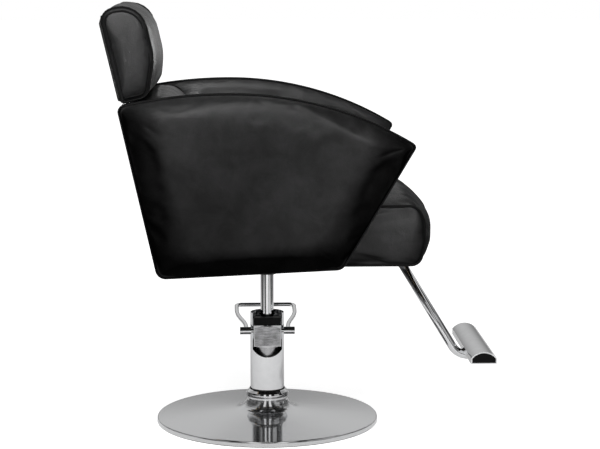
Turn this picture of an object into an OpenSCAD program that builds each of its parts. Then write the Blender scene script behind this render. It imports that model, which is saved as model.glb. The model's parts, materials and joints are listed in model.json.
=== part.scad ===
// Salon chair with a hydraulic lift: padded arms, seat, back and headrest on a round chrome base.
// Millimetres. The chair faces +X, +Z is up, and the origin is on the floor, on the axis of the lift.

/* [Base] */
// Diameter of the round floor disc
base_d = 500; // [480:5:520]
// Height of the disc's turned-down rim
rim_h = 13; // [12:0.5:15]
// Thickness of the disc's pressed steel
sheet_t = 3; // [2.5:0.5:3]
// Slope of the disc, in degrees
disc_slope = 5; // [4.5:0.5:6]
// Radius of the sweep from the disc up to its crown
neck_fillet_r = 30; // [26:1:34]
// Radius of the disc's flat crown
neck_r = 46; // [46:0.5:47]

/* [Pump] */
// Outer diameter of the chrome shroud
shroud_d = 76; // [76:0.25:76.5]
// Wall of the shroud
shroud_wall = 1.5; // [1:0.25:1.5]
// Length of the shroud
shroud_len = 185; // [183:1:190]
// Width of the notch in the shroud
notch_w = 66; // [64:0.5:67]
// Depth of the notch at its middle
notch_depth = 98; // [90:1:104]
// Rise of the notch's floor towards its sides
notch_rise = 15; // [8:1:18]
// Outer radius of the collar ring
collar_r = 48; // [47.5:0.5:50]
// Height of the collar ring
collar_h = 15; // [14:0.5:16]
// Outer radius of the oil reservoir
tank_r = 25; // [24:0.5:25]
// Radius of the piston
piston_r = 17; // [16.5:0.25:17]
// Height of the piston
piston_h = 14; // [13:0.5:14]
// Wall of the barrel that the piston slides in
barrel_wall = 2.95; // [2.5:0.05:2.95]
// Radius of the chrome lift rod
rod_r = 15; // [14:0.5:15]
// Travel of the seat below the height shown
lift_down = 55; // [40:1:55]
// Travel of the seat above the height shown
lift_up = 60; // [40:1:60]
// Half the width of the pump head
head_half_w = 30.5; // [30:0.25:31]
// Height of the pump head
head_h = 52; // [50:1:54]
// Distance from the lift axis to the front of the pump head
head_front = 36; // [36:0.5:37]
// Height of the black cap on the pump head
cap_h = 18; // [16:1:20]

/* [Lever] */
// Radius of the lever's cross shaft
axle_r = 4.5; // [4:0.25:4.5]
// Length of the cross shaft
axle_len = 123; // [120:1:130]
// Distance from the lift axis to the cross shaft
axle_y = 24; // [24:0.25:24.5]
// Radius of the two hubs on the shaft
hub_r = 8.5; // [8:0.25:9]
// Radius of the bent lever rod
lever_rod_r = 5; // [4:0.5:5]
// Half the distance between the rod's ends
lever_foot_w = 48; // [47:0.5:50]
// Half the width of the lever's loop
lever_wide_w = 68; // [62:1:74]
// Reach of the lever from the cross shaft
lever_len = 224; // [205:1:240]
// Upward tilt of the lever at rest, in degrees
lever_tilt = 4.4; // [2:0.2:7]

/* [Seat] */
// Height of the seat board's underside
board_z = 392; // [391:0.5:394]
// Thickness of the seat board
board_t = 18; // [16:1:18]
// Half the width of the seat board
board_half_w = 226; // [220:1:228]
// Rear edge of the seat board, behind the lift axis
board_back = 217; // [212:1:217]
// Front edge of the seat board, before the lift axis
board_front = 300; // [290:1:302]
// Half the width of the seat cushion
seat_half_w = 235; // [232:1:236]
// Front of the seat cushion at its sides, before the lift axis
seat_front_x = 334; // [328:1:340]
// Height of the seat cushion over the board's underside, at its sides
seat_h = 132; // [128:1:134]
// Swell of the seat cushion in its middle
seat_crown = 30; // [20:1:32]

/* [Arms] */
// Distance from the middle to the arms' inner faces
arm_in_y = 245; // [245:0.5:250]
// Thickness of an arm's inner pad
arm_inner_t = 15; // [12:0.5:18]
// Thickness of the plywood in an arm
arm_board_t = 18; // [15:1:20]
// Thickness of an arm's outer pad
arm_outer_t = 32; // [24:1:34]
// Width of the padded band round the plywood
arm_band_w = 6; // [4:0.5:7]
// Highest point of the arms
arm_top_z = 759; // [750:1:765]
// Where the arms are highest, behind the lift axis
arm_apex_back = 82; // [75:1:90]
// Radius of the top edge in front of the highest point
arm_front_r = 745; // [720:5:800]
// Radius of the top edge behind it
arm_rear_r = 1050; // [1000:10:1200]
// Front tip of the arms, before the lift axis
arm_tip_x = 305; // [295:1:312]
// Lean of the arms' front edge from upright, in degrees
arm_front_lean = 30.7; // [29:0.1:32]

/* [Back] */
// Lean of the back from upright, in degrees
back_lean = 13; // [12.8:0.1:13.2]
// Depth of the back cushion at its sides, from the rear face
lumbar_depth = 118; // [110:1:124]
// Half the width of the back cushion
lumbar_half_w = 235; // [230:1:237]
// Swell of the back cushion in its middle
lumbar_crown = 14; // [8:1:16]
// Half the width of the headrest
head_half_y = 205; // [198:1:215]
// Depth of the headrest at its sides, from the rear face
head_depth = 90; // [84:1:96]
// Height of the headrest along its lean
head_rest_h = 195; // [190:1:200]
// Swell of the headrest in its middle
head_crown = 12; // [6:1:14]

/* [Footrest] */
// Outer radius of the footrest's tube
foot_tube_r = 10; // [9:0.25:10]
// Wall of that tube
foot_tube_wall = 2; // [1.5:0.25:2.5]
// Slope of the tube below level, in degrees
foot_slope = 58.6; // [58:0.2:59.4]
// Height of the tube's low run
foot_low_z = 146; // [142:1:148]
// Where the two runs of the tube would meet, before the lift axis
foot_corner_x = 433.5; // [431:0.5:435]
// Bend radius of the tube
foot_bend_r = 42; // [39:1:43]
// Length of the foot bar
bar_len = 330; // [300:5:360]
// Width of the foot bar
bar_w = 57; // [55:0.5:57]
// Height of the foot bar's upright sides
bar_side_h = 13; // [11:0.5:15]
// Rise of its domed top above the sides
bar_dome_h = 14; // [12:0.5:16]
// Wall of the foot bar
bar_wall = 2.5; // [2:0.25:3]

/* [Hidden] */
$fn = 48;

// Clearances
run_gap = 0.05;
soft_gap = 0.3;
over = 1;

// Base, from the rim to the crown
rim_r = base_d / 2;
rim_round_r = 4;
rim_lift = 1.5;
fillet_x = neck_r + neck_fillet_r;
slope_end_r = fillet_x - neck_fillet_r * sin(disc_slope);
slope_end_z = rim_h + (rim_r - rim_round_r - slope_end_r) * tan(disc_slope);
neck_z = slope_end_z + neck_fillet_r * cos(disc_slope);
plate_t = 8;
plate_r = 42;
bolt_circle_r = 31;
bolt_count = 4;
bolt_r = 3;
bolt_head_r = 5;
bolt_head_h = 6;
nut_h = 5;
nut_r = 5.77;

// Pump
flange_t = 6;
flange_r = 44;
flange_z = neck_z + flange_t;
collar_z = neck_z + collar_h;
shroud_r = shroud_d / 2;
shroud_in_r = shroud_r - shroud_wall;
shroud_z = flange_z + shroud_len;
notch_z = shroud_z - notch_depth;
notch_curve_r = (pow(notch_w / 2, 2) + pow(notch_rise, 2)) / (2 * notch_rise);
collar_bore_r = 38.4;
collar_wall = 3.4;
seal_r = 39.5;
seal_h = 2.5;
head_rise = 160;
head_top = flange_z + head_rise;
head_z = head_top - head_h;
head_step = 4;
head_box_z = head_z + head_step;
tank_wall = 2;
valve_h = 4;
barrel_in_r = piston_r + run_gap;
barrel_r = barrel_in_r + barrel_wall;
barrel_z = flange_z + valve_h;
bush_r = 17.5;
bush_h = 20;
barrel_top = head_top - bush_h - valve_h;
gland_r = 24;
gland_h = 8;
wiper_r = 18;
wiper_h = 9;
stop_gap = 2;
piston_z = barrel_z + lift_down + stop_gap;
piston_top = piston_z + piston_h;
spigot_r = 8;
spigot_h = 12;
groove_d = 2.5;
groove_h = 4;
groove_lift = 5;
washer_h = 2;
washer_r = 14.5;
washer_hole_r = 9;
rod_z = piston_top + washer_h;

// Lever and plunger
axle_drop = 13.5;
axle_z = head_top - axle_drop;
hub_in_x = 36.5;
pocket_half_w = 9;
pocket_back = 17.8;
pocket_z = axle_z - hub_r;
cam_half_w = 5;
cam_hub_r = 6;
cam_tip_r = 2;
cam_arm_half_t = 1.6;
cam_reach = 8;
cam_lift = 5;
plunger_r = 2.5;
plunger_y = axle_y + cam_reach;
plunger_z = axle_z + cam_lift + cam_tip_r + run_gap;
plunger_h = 15;
spring_h = 5;
cap_back = 17.6;
cap_half_w = 30.3;
cap_round_r = 2;
face_t = 2;
face_half_w = 29;
face_z = head_box_z + face_t;
face_top = head_top - face_t;
face_arch = 5;
face_arch_r = (pow(face_half_w, 2) + pow(face_arch, 2)) / (2 * face_arch);
lever_bend_r = 90;
lever_corner_r = 12;
lever_straight = 50;
lever_spread = 175;

// Seat mount
taper_z = 340;
taper_top = 380;
taper_r = 12.5;
socket_r = 22;
socket_z = 337;
mount_t = 5;
mount_z = board_z - mount_t;
mount_x = 100;
mount_y = 80;
mount_hole_x = 80;
mount_hole_y = 60;
screw_r = 4;
screw_head_r = 7;
screw_head_h = 5;
screw_bite = 15;
board_top = board_z + board_t;

// Arms, from inside to outside
arm_board_y = arm_in_y + arm_inner_t;
arm_skin_y = arm_board_y + arm_board_t;
arm_out_y = arm_skin_y + arm_outer_t;
arm_low_front_r = 22;
arm_low_back_r = 20;
arm_tip_r = 8;
arm_top_back_r = 12;
arm_low_back = [-234, 375];
arm_low_front_z = 392.5;
arm_top_back_x = -314;
arm_mid = [-40, 570];
arc_steps = 9;
corner_steps = 5;
outer_ring_shares = [[1, 0], [1, 0.42], [0.985, 0.66], [0.95, 0.84], [0.88, 0.95], [0.7, 1]];
inner_ring_shares = [[1, 0], [1, 0.45], [0.985, 0.75], [0.94, 0.95], [0.8, 1]];
front_arc_share = 0.94;
rear_arc_share = 0.85;

// Cushions: the outlines of their sides and of their middle
cushion_steps = 4;
seat_rear_x = -218;
seat_foot_x = 308;
seat_foot_mid_x = 310;
seat_lip_x = 330;
seat_lip_h = 28;
seat_lip_mid_x = 361;
seat_lip_mid_h = 34;
seat_nose_h = 92;
seat_nose_mid_h = 82;
seat_brow_back = 8;
seat_brow_mid_back = 32;
seat_brow_mid_drop = 6;
seat_top_x = 120;
seat_top_mid_x = 110;
seat_top_drop = 4;
seat_rear_h = 112;
seat_rear_mid_h = 130;
seat_side_radii = [3, 6, 40, 36, 34, 200, 10];
seat_mid_radii = [3, 6, 30, 30, 40, 260, 12];
seat_bulge = 3;
seat_centre_x = 60;
seat_centre_h = 60;

// Brackets and screws
bracket_t = 4;
bracket_w = 40;
bracket_xs = [-120, 90];
bracket_in_y = 170;
bracket_top = 450;
bracket_y = arm_in_y - bracket_t;
bracket_screw_z = 435;
bracket_screw_y = 185;
small_r = 3;
small_head_r = 5;
small_head_h = 3;
small_bite = 12;
bb_y = 150;
bb_back_x = -233;
bb_front_x = -172;
bb_screw_x = -190;
bb_back_screw_x = -226;

// Back, in its own leaning frame: x runs forward from the rear face and z along the lean
back_foot_x = 239;
back_foot_z = 399;
cover_t = 4;
back_board_t = 14;
back_board_x = cover_t + back_board_t;
back_low = 8;
back_h = 335;
back_half_w = arm_in_y - soft_gap;
strap_half_w = 15;
strap_y = 110;
strap_low = 200;
strap_t = 4;
strap_screw_r = 2.5;
lumbar_low = 121;
lumbar_rear_low = 143;
lumbar_over = 30;
lumbar_top = back_h + lumbar_over;
lumbar_shelf_lift = 8;
lumbar_shelf = back_h + lumbar_shelf_lift;
lumbar_shelf_x = 86;
lumbar_gap_x = 100;
lumbar_gap_mid_x = 104;
lumbar_gap_drop = 1;
lumbar_gap_z = lumbar_top - lumbar_gap_drop;
lumbar_brow = 6;
lumbar_mid_brow = 10;
lumbar_mid_low = 119;
lumbar_mid_over = 4;
lumbar_mid_top = lumbar_top + lumbar_mid_over;
lumbar_side_radii = [8, 25, 24, 7, 6, 4];
lumbar_mid_radii = [8, 34, 26, 7, 6, 4];
lumbar_bulge = 4;
lumbar_centre = [70, 250];
head_gap = 11;
head_low = back_h + head_gap;
head_mid_drop = 1;
head_mid_low = head_low - head_mid_drop;
head_panel_gap = 2;
head_panel_low = head_low + head_panel_gap;
head_chin = 4;
head_mid_chin = 6;
head_brow = 5;
head_mid_brow = 4;
head_cheek_h = 94;
head_mid_cheek_h = 86;
head_mid_rise = 8;
head_side_radii = [6, 24, 200, 54, 26];
head_mid_radii = [6, 30, 200, 60, 28];
head_bulge = 8;
head_centre_x = 50;
head_rear_x = 7.5;
head_board_lift = 19;
head_board_low = head_low + head_board_lift;
head_board_h = 155;
strap_reach = 115;
strap_high = head_board_low + strap_reach;
strap_screw_low = 35;
strap_screw_high = 95;
strap_screw_heights = [220, 300, head_board_low + strap_screw_low, head_board_low + strap_screw_high];
head_board_half_w = 190;
head_board_t = 12;

// Footrest
foot_top_z = 378;
foot_socket_r = 14;
foot_socket_z = 357;
foot_plate_back = 232;
foot_plate_front = 298;
foot_plate_half_w = 40;
foot_screw_y = 28;
foot_screw_xs = [246, 286];
foot_top_x = foot_corner_x - (foot_top_z - foot_low_z) / tan(foot_slope);
foot_end_x = 488;
foot_cut = foot_bend_r * tan(foot_slope / 2);
bar_x = 470.5;
saddle_t = 4;
saddle_back = 458;
saddle_half_w = 20;
bar_z = foot_low_z + foot_tube_r + saddle_t;
bar_dome_r = (pow(bar_w / 2, 2) + pow(bar_dome_h, 2)) / (2 * bar_dome_h);
plug_len = 12;
foot_bolt_xs = [466, 481];

// The points of one corner of an outline, rounded to radius r
function corner(before, p, after, r, steps) =
    let (a = before - p, b = after - p, ua = a / norm(a), ub = b / norm(b), half = acos(ua * ub) / 2)
    let (c = p + (ua + ub) / norm(ua + ub) * r / sin(half), cut = r / tan(half))
    let (s = p + ua * cut - c, e = p + ub * cut - c, sweep = 180 - 2 * half)
    [for (k = [0:steps]) c + (s * sin(sweep * (1 - k / steps)) + e * sin(sweep * k / steps)) / sin(sweep)];

// An outline with every corner rounded to its own radius
function rounded(pts, radii, steps) =
    let (n = len(pts))
    [for (i = [0:n - 1]) each radii[i] == 0 ? [pts[i]]
        : corner(pts[(i + n - 1) % n], pts[i], pts[(i + 1) % n], radii[i], steps)];

// Triangles over rings of n points, closed at both ends by a fan to one point
function skin_faces(rings, n) = concat(
    [for (k = [0:rings - 2], i = [0:n - 1], h = [0, 1])
        let (a = k * n + i, b = k * n + (i + 1) % n)
        h == 0 ? [a, b, a + n] : [b, b + n, a + n]],
    [for (i = [0:n - 1]) [rings * n, (i + 1) % n, i]],
    [for (i = [0:n - 1]) [rings * n + 1, (rings - 1) * n + i, (rings - 1) * n + (i + 1) % n]]);

function middle(ring) = [for (k = [0:2]) [for (p = ring) p[k]] * [for (p = ring) 1] / len(ring)];

module skin(rings) {
    last = len(rings) - 1;
    polyhedron(points = concat([for (r = rings) each r], [middle(rings[0]), middle(rings[last])]),
        faces = skin_faces(last + 1, len(rings[0])));
}

// A round bar along a path in the XY plane, with a bend radius at each inner corner
rod_sides = 24;
bend_steps = 5;

module swept(path, bends, r) {
    last = len(path) - 1;
    run = concat([path[0]],
        [for (i = [1:last - 1]) each corner(path[i - 1], path[i], path[i + 1], bends[i - 1], bend_steps)],
        [path[last]]);
    n = len(run);
    steps = [for (i = [0:n - 2]) (run[i + 1] - run[i]) / norm(run[i + 1] - run[i])];
    aim = [for (i = [0:n - 1]) i == 0 ? steps[0] : i == n - 1 ? steps[n - 2] : steps[i - 1] + steps[i]];
    skin([for (i = [0:n - 1])
        let (side = [-aim[i][1], aim[i][0]] / norm(aim[i]))
        [for (k = [0:rod_sides - 1])
            let (a = 360 * k / rod_sides)
            [run[i][0] + r * cos(a) * side[0], run[i][1] + r * cos(a) * side[1], -r * sin(a)]]]);
}

// A cushion across Y: its side outline grows into the middle outline as the crown rises
crown_power = 2.4;
function crown(t) = 1 - pow(abs(t), crown_power);
function blend(a, b, w) = [for (i = [0:len(a) - 1]) a[i] * (1 - w) + b[i] * w];
function around(ring, c, k) = [for (p = ring) c + (p - c) * k];
cushion_shares = [-1, -0.94, -0.85, -0.72, -0.5, -0.25, 0, 0.25, 0.5, 0.72, 0.85, 0.94, 1];
end_shares = [[0.9, 1], [0.97, 0.6]];

module cushion(side, mid, half_w, bulge, c) {
    body = [for (t = cushion_shares) [for (p = blend(side, mid, crown(t))) [p[0], half_w * t, p[1]]]];
    low = [for (e = end_shares) [for (p = around(side, c, e[0])) [p[0], -half_w - bulge * e[1], p[1]]]];
    high = [for (i = [len(end_shares) - 1:-1:0])
        [for (p = around(side, c, end_shares[i][0])) [p[0], half_w + bulge * end_shares[i][1], p[1]]]];
    skin(concat(low, body, high));
}

// Side outline of an arm, in X and Z
function arm_top(x, r) = arm_top_z - r + sqrt(r * r - pow(x + arm_apex_back, 2));
arm_tip = [arm_tip_x, arm_top(arm_tip_x, arm_front_r)];
arm_low = [arm_tip_x - (arm_tip[1] - arm_low_front_z) * tan(arm_front_lean), arm_low_front_z];
arm_top_back = [arm_top_back_x, arm_top(arm_top_back_x, arm_rear_r)];
front_arc = [for (i = [arc_steps:-1:0])
    let (x = -arm_apex_back + (arm_tip_x + arm_apex_back) * front_arc_share * i / arc_steps)
    [x, arm_top(x, arm_front_r)]];
rear_arc = [for (i = [1:corner_steps])
    let (x = -arm_apex_back + (arm_top_back_x + arm_apex_back) * rear_arc_share * i / corner_steps)
    [x, arm_top(x, arm_rear_r)]];
arm_outline = rounded(
    concat([arm_low_back, arm_low, arm_tip], front_arc, rear_arc, [arm_top_back]),
    concat([arm_low_back_r, arm_low_front_r, arm_tip_r], 0 * [for (p = front_arc) p[0]],
        0 * [for (p = rear_arc) p[0]], [arm_top_back_r]), corner_steps);

// An outline moved inward by d, its points running to the left round the inside
function inset(p, d) =
    let (n = len(p))
    [for (i = [0:n - 1])
        let (a = p[i] - p[(i + n - 1) % n], b = p[(i + 1) % n] - p[i])
        let (u = [-a[1], a[0]] / norm(a), v = [-b[1], b[0]] / norm(b), m = (u + v) / norm(u + v))
        p[i] + m * d / (m * u)];

// Round shapes
module tube(h, r_out, r_in) {
    difference() {
        cylinder(h = h, r = r_out);
        translate([0, 0, -over]) cylinder(h = h + 2 * over, r = r_in);
    }
}

module screw(r, head_r, head_h, length) {
    translate([0, 0, -head_h]) cylinder(h = head_h, r = head_r);
    cylinder(h = length, r = r);
}

module both_sides() {
    children();
    mirror([0, 1, 0]) children();
}

module side_slab(outline, y, t) {
    translate([0, y + t, 0]) rotate([90, 0, 0]) linear_extrude(height = t) polygon(outline);
}

// Base
module at_flange_bolts() {
    for (i = [0:bolt_count - 1]) rotate([0, 0, 360 * (i + 1 / 2) / bolt_count])
        translate([bolt_circle_r, 0, 0]) children();
}

module base_trim_ring() {
    in_r = rim_r - sheet_t;
    color("black") rotate_extrude() polygon([
        [in_r - rim_round_r, 0], [rim_r - rim_lift, 0], [rim_r - rim_lift, rim_lift], [in_r, rim_lift],
        [in_r, rim_h - rim_round_r], [in_r - rim_round_r, rim_h - rim_round_r]]);
}

module base_disc() {
    in_r = neck_fillet_r + sheet_t;
    steps = 2 * corner_steps;
    turn = 90 - disc_slope;
    rim = [for (i = [0:corner_steps]) let (a = 90 * i / corner_steps)
        [rim_r - rim_round_r + rim_round_r * cos(a), rim_h - rim_round_r + rim_round_r * sin(a)]];
    sweep = [for (i = [0:steps]) let (a = 270 - disc_slope - turn * i / steps)
        [fillet_x + neck_fillet_r * cos(a), neck_z + neck_fillet_r * sin(a)]];
    under = [for (i = [steps - 1:-1:0]) let (a = 270 - disc_slope - turn * i / steps)
        [fillet_x + in_r * cos(a), neck_z + in_r * sin(a)]];
    color("lightgray") difference() {
        rotate_extrude($fn = 2 * $fn) polygon(concat(
            [[rim_r, rim_lift]], rim, sweep, [[0, neck_z], [0, neck_z - sheet_t],
            [neck_r - sheet_t, neck_z - sheet_t]], under,
            [[rim_r - rim_round_r, rim_h - sheet_t], [rim_r - sheet_t, rim_h - rim_round_r],
            [rim_r - sheet_t, rim_lift]]));
        at_flange_bolts() translate([0, 0, rim_h]) cylinder(h = neck_z, r = bolt_r + run_gap);
    }
}

module base_plate() {
    color("gray") translate([0, 0, neck_z - sheet_t - plate_t]) difference() {
        cylinder(h = plate_t, r = plate_r);
        at_flange_bolts() translate([0, 0, -over]) cylinder(h = plate_t + 2 * over, r = bolt_r + run_gap);
    }
}

module flange_nuts() {
    color("silver") at_flange_bolts() translate([0, 0, neck_z - sheet_t - plate_t - nut_h]) difference() {
        cylinder(h = nut_h, r = nut_r, $fn = 6);
        translate([0, 0, -over]) cylinder(h = nut_h + 2 * over, r = bolt_r + run_gap);
    }
}

module flange_bolts() {
    low = neck_z - sheet_t - plate_t - nut_h;
    color("dimgray") at_flange_bolts() translate([0, 0, flange_z]) mirror([0, 0, 1])
        screw(bolt_r, bolt_head_r, bolt_head_h, flange_z - low);
}

module pump_flange() {
    color("gray") translate([0, 0, neck_z]) difference() {
        cylinder(h = flange_t, r = flange_r);
        at_flange_bolts() translate([0, 0, -over]) cylinder(h = flange_t + 2 * over, r = bolt_r + run_gap);
    }
}

module collar_ring() {
    color("lightgray") rotate_extrude() polygon([
        [flange_r, neck_z], [collar_r, neck_z], [collar_r, flange_z],
        [collar_r - collar_wall / 2, flange_z + collar_wall],
        [collar_bore_r + collar_wall, collar_z - over],
        [collar_bore_r + collar_wall / 2, collar_z], [collar_bore_r, collar_z],
        [collar_bore_r, collar_z - collar_wall], [flange_r, flange_z]]);
}

module collar_seal() {
    color("black") translate([0, 0, collar_z]) tube(seal_h, seal_r, shroud_r);
}

module pump_shroud() {
    color("lightgray") difference() {
        translate([0, 0, flange_z]) tube(shroud_len, shroud_r, shroud_in_r);
        intersection() {
            translate([-notch_w / 2, -shroud_d, notch_z]) cube([notch_w, shroud_d, notch_depth + over]);
            union() {
                translate([0, 0, notch_z + notch_curve_r]) rotate([90, 0, 0])
                    cylinder(h = shroud_d, r = notch_curve_r);
                translate([-notch_w / 2, -shroud_d, notch_z + notch_curve_r])
                    cube([notch_w, shroud_d, notch_depth]);
            }
        }
    }
}

module pump_reservoir() {
    color("gray") translate([0, 0, flange_z]) tube(head_z - flange_z, tank_r, tank_r - tank_wall);
}

module barrel_cap() {
    color("goldenrod") translate([0, 0, flange_z]) cylinder(h = valve_h, r = tank_r - tank_wall);
}

module pump_barrel() {
    color("silver") translate([0, 0, barrel_z]) tube(barrel_top - barrel_z, barrel_r, barrel_in_r);
}

module pump_head() {
    color("silver") difference() {
        union() {
            translate([0, 0, head_z]) cylinder(h = head_h, r = head_half_w);
            translate([-head_half_w, -head_front, head_box_z])
                cube([2 * head_half_w, head_front, head_top - head_box_z]);
        }
        translate([0, 0, head_z - over]) cylinder(h = barrel_top - head_z + over, r = barrel_r);
        translate([0, 0, barrel_top - over]) cylinder(h = head_h, r = bush_r);
        translate([-2 * head_half_w, -axle_y, axle_z]) rotate([0, 90, 0])
            cylinder(h = 4 * head_half_w, r = axle_r + run_gap);
        translate([-pocket_half_w, -head_front - over, pocket_z])
            cube([2 * pocket_half_w, head_front + over - pocket_back, head_h]);
    }
}

module head_face_plate() {
    color("silver") translate([0, -head_front, 0]) intersection() {
        translate([-face_half_w, -face_t, face_z]) cube([2 * face_half_w, face_t, face_top - face_z]);
        translate([0, 0, face_top - face_arch_r]) rotate([90, 0, 0]) cylinder(h = face_t, r = face_arch_r);
    }
}

module head_cap() {
    color("black") translate([0, 0, head_top]) difference() {
        union() {
            translate([-cap_half_w, -head_front, cap_round_r])
                cube([2 * cap_half_w, head_front - cap_back, cap_h - 2 * cap_round_r]);
            translate([-cap_half_w + cap_round_r, -head_front, 0])
                cube([2 * (cap_half_w - cap_round_r), head_front - cap_back, cap_h]);
            for (x = [-1, 1], z = [cap_round_r, cap_h - cap_round_r])
                translate([x * (cap_half_w - cap_round_r), -cap_back, z]) rotate([90, 0, 0])
                    cylinder(h = head_front - cap_back, r = cap_round_r);
        }
        translate([0, 0, -over]) cylinder(h = cap_h + 2 * over, r = gland_r);
        translate([0, -plunger_y, -over])
            cylinder(h = plunger_z + plunger_h + spring_h - head_top + over, r = plunger_r + run_gap);
    }
}

module rod_bush() {
    color("goldenrod") translate([0, 0, head_top - bush_h]) tube(bush_h, bush_r, rod_r + run_gap);
}

module gland_ring() {
    color("silver") translate([0, 0, head_top]) tube(gland_h, gland_r, wiper_r);
}

module rod_wiper() {
    color("black") translate([0, 0, head_top]) tube(wiper_h, wiper_r, rod_r + run_gap);
}

module plunger_spring() {
    color("silver") translate([0, -plunger_y, plunger_z + plunger_h]) tube(spring_h, plunger_r - run_gap,
        plunger_r / 2);
}

// Piston
module piston() {
    color("silver") difference() {
        translate([0, 0, piston_z]) cylinder(h = piston_h, r = piston_r);
        translate([0, 0, piston_top - spigot_h]) cylinder(h = spigot_h + over, r = spigot_r + run_gap);
        translate([0, 0, piston_z + groove_lift]) tube(groove_h, piston_r + over, piston_r - groove_d);
    }
}

module piston_seal() {
    color("black") translate([0, 0, piston_z + groove_lift]) tube(groove_h, piston_r, piston_r - groove_d);
}

module thrust_washer() {
    color("goldenrod") translate([0, 0, piston_top]) tube(washer_h, washer_r, washer_hole_r);
}

module piston_rod() {
    color("lightgray") {
        translate([0, 0, rod_z]) cylinder(h = taper_z - rod_z, r = rod_r);
        translate([0, 0, rod_z - washer_h - spigot_h + over])
            cylinder(h = washer_h + spigot_h, r = spigot_r);
        translate([0, 0, taper_z]) cylinder(h = taper_top - taper_z, r1 = rod_r, r2 = taper_r);
    }
}

// Seat mount
module seat_socket() {
    color("dimgray") difference() {
        translate([0, 0, socket_z]) cylinder(h = mount_z - socket_z, r = socket_r);
        translate([0, 0, socket_z - over]) cylinder(h = taper_z - socket_z + over, r = rod_r);
        translate([0, 0, taper_z]) cylinder(h = taper_top - taper_z, r1 = rod_r, r2 = taper_r);
    }
}

module at_mount_bolts() {
    for (x = [-1, 1], y = [-1, 1]) translate([x * mount_hole_x, y * mount_hole_y, 0]) children();
}

module seat_plate() {
    color("dimgray") translate([0, 0, mount_z]) difference() {
        translate([-mount_x, -mount_y, 0]) cube([2 * mount_x, 2 * mount_y, mount_t]);
        at_mount_bolts() translate([0, 0, -over]) cylinder(h = mount_t + 2 * over, r = screw_r + run_gap);
    }
}

module seat_plate_bolts() {
    color("silver") at_mount_bolts() translate([0, 0, mount_z])
        screw(screw_r, screw_head_r, screw_head_h, mount_t + screw_bite);
}

module seat_board() {
    bite = screw_bite + over;
    color("burlywood") difference() {
        translate([-board_back, -board_half_w, board_z])
            cube([board_back + board_front, 2 * board_half_w, board_t]);
        at_mount_bolts() translate([0, 0, board_z - over]) cylinder(h = bite, r = screw_r);
        at_bracket_screws() translate([0, 0, board_z - over]) cylinder(h = small_bite + over, r = small_r);
        at_foot_screws() translate([0, 0, board_z - over]) cylinder(h = small_bite + over, r = small_r);
    }
}

seat_side = rounded(
    [[seat_rear_x, board_z], [seat_foot_x, board_z], [seat_lip_x, board_z + seat_lip_h],
     [seat_front_x, board_z + seat_nose_h], [seat_front_x - seat_brow_back, board_z + seat_h],
     [seat_top_x, board_z + seat_h - seat_top_drop], [seat_rear_x, board_z + seat_rear_h]],
    seat_side_radii, cushion_steps);
seat_mid = rounded(
    [[seat_rear_x, board_z], [seat_foot_mid_x, board_z], [seat_lip_mid_x, board_z + seat_lip_mid_h],
     [seat_front_x + seat_crown, board_z + seat_nose_mid_h],
     [seat_front_x - seat_brow_mid_back, board_z + seat_h + seat_crown - seat_brow_mid_drop],
     [seat_top_mid_x, board_z + seat_h + seat_crown], [seat_rear_x, board_z + seat_rear_mid_h]],
    seat_mid_radii, cushion_steps);

module seat_cushion() {
    color("black") difference() {
        cushion(seat_side, seat_mid, seat_half_w - seat_bulge, seat_bulge,
            [seat_centre_x, board_z + seat_centre_h]);
        translate([-board_back, -board_half_w, board_z - board_t])
            cube([board_back + board_front, 2 * board_half_w, 2 * board_t]);
        translate([-board_back - board_t, -2 * board_half_w, board_z - board_t])
            cube([board_back, 4 * board_half_w, board_t]);
    }
}

// Arms
module arm_board() {
    color("burlywood") difference() {
        side_slab(inset(arm_outline, arm_band_w), arm_board_y, arm_board_t);
        at_arm_screws() rotate([-90, 0, 0]) translate([0, 0, bracket_y])
            cylinder(h = arm_board_y - bracket_y + small_bite, r = small_r);
    }
}

module arm_edge_band() {
    color("black") difference() {
        side_slab(arm_outline, arm_board_y, arm_board_t);
        side_slab(inset(arm_outline, arm_band_w), arm_board_y - over, arm_board_t + 2 * over);
    }
}

function pad_ring(share, y0, y1) =
    [for (p = around(arm_outline, arm_mid, share[0])) [p[0], y0 + (y1 - y0) * share[1], p[1]]];

module arm_outer_pad() {
    color("black") skin([for (s = outer_ring_shares) pad_ring(s, arm_skin_y, arm_out_y)]);
}

module arm_inner_pad() {
    color("black") difference() {
        mirror([0, 1, 0]) skin([for (s = inner_ring_shares) pad_ring(s, -arm_board_y, -arm_in_y)]);
        at_arm_screws() rotate([-90, 0, 0]) translate([0, 0, bracket_y])
            cylinder(h = arm_board_y - bracket_y + over, r = small_r);
    }
}

// Brackets and their screws
module at_arm_screws() {
    for (x = bracket_xs) translate([x, 0, bracket_screw_z]) children();
}

module at_bracket_screws() {
    both_sides() for (x = bracket_xs) translate([x, bracket_screw_y, 0]) children();
    both_sides() translate([bb_screw_x, bb_y, 0]) children();
}

module arm_brackets() {
    color("dimgray") both_sides() for (x = bracket_xs) difference() {
        union() {
            translate([x - bracket_w / 2, bracket_in_y, board_z - bracket_t])
                cube([bracket_w, arm_in_y - bracket_in_y, bracket_t]);
            translate([x - bracket_w / 2, bracket_y, board_z - bracket_t])
                cube([bracket_w, bracket_t, bracket_top - board_z]);
        }
        translate([x, bracket_screw_y, board_z - 2 * bracket_t])
            cylinder(h = 3 * bracket_t, r = small_r + run_gap);
        translate([x, bracket_y - over, bracket_screw_z]) rotate([-90, 0, 0])
            cylinder(h = bracket_t + 2 * over, r = small_r + run_gap);
    }
}

module at_back_screws() {
    both_sides() translate([bb_back_screw_x, bb_y, 0]) children();
}

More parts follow.
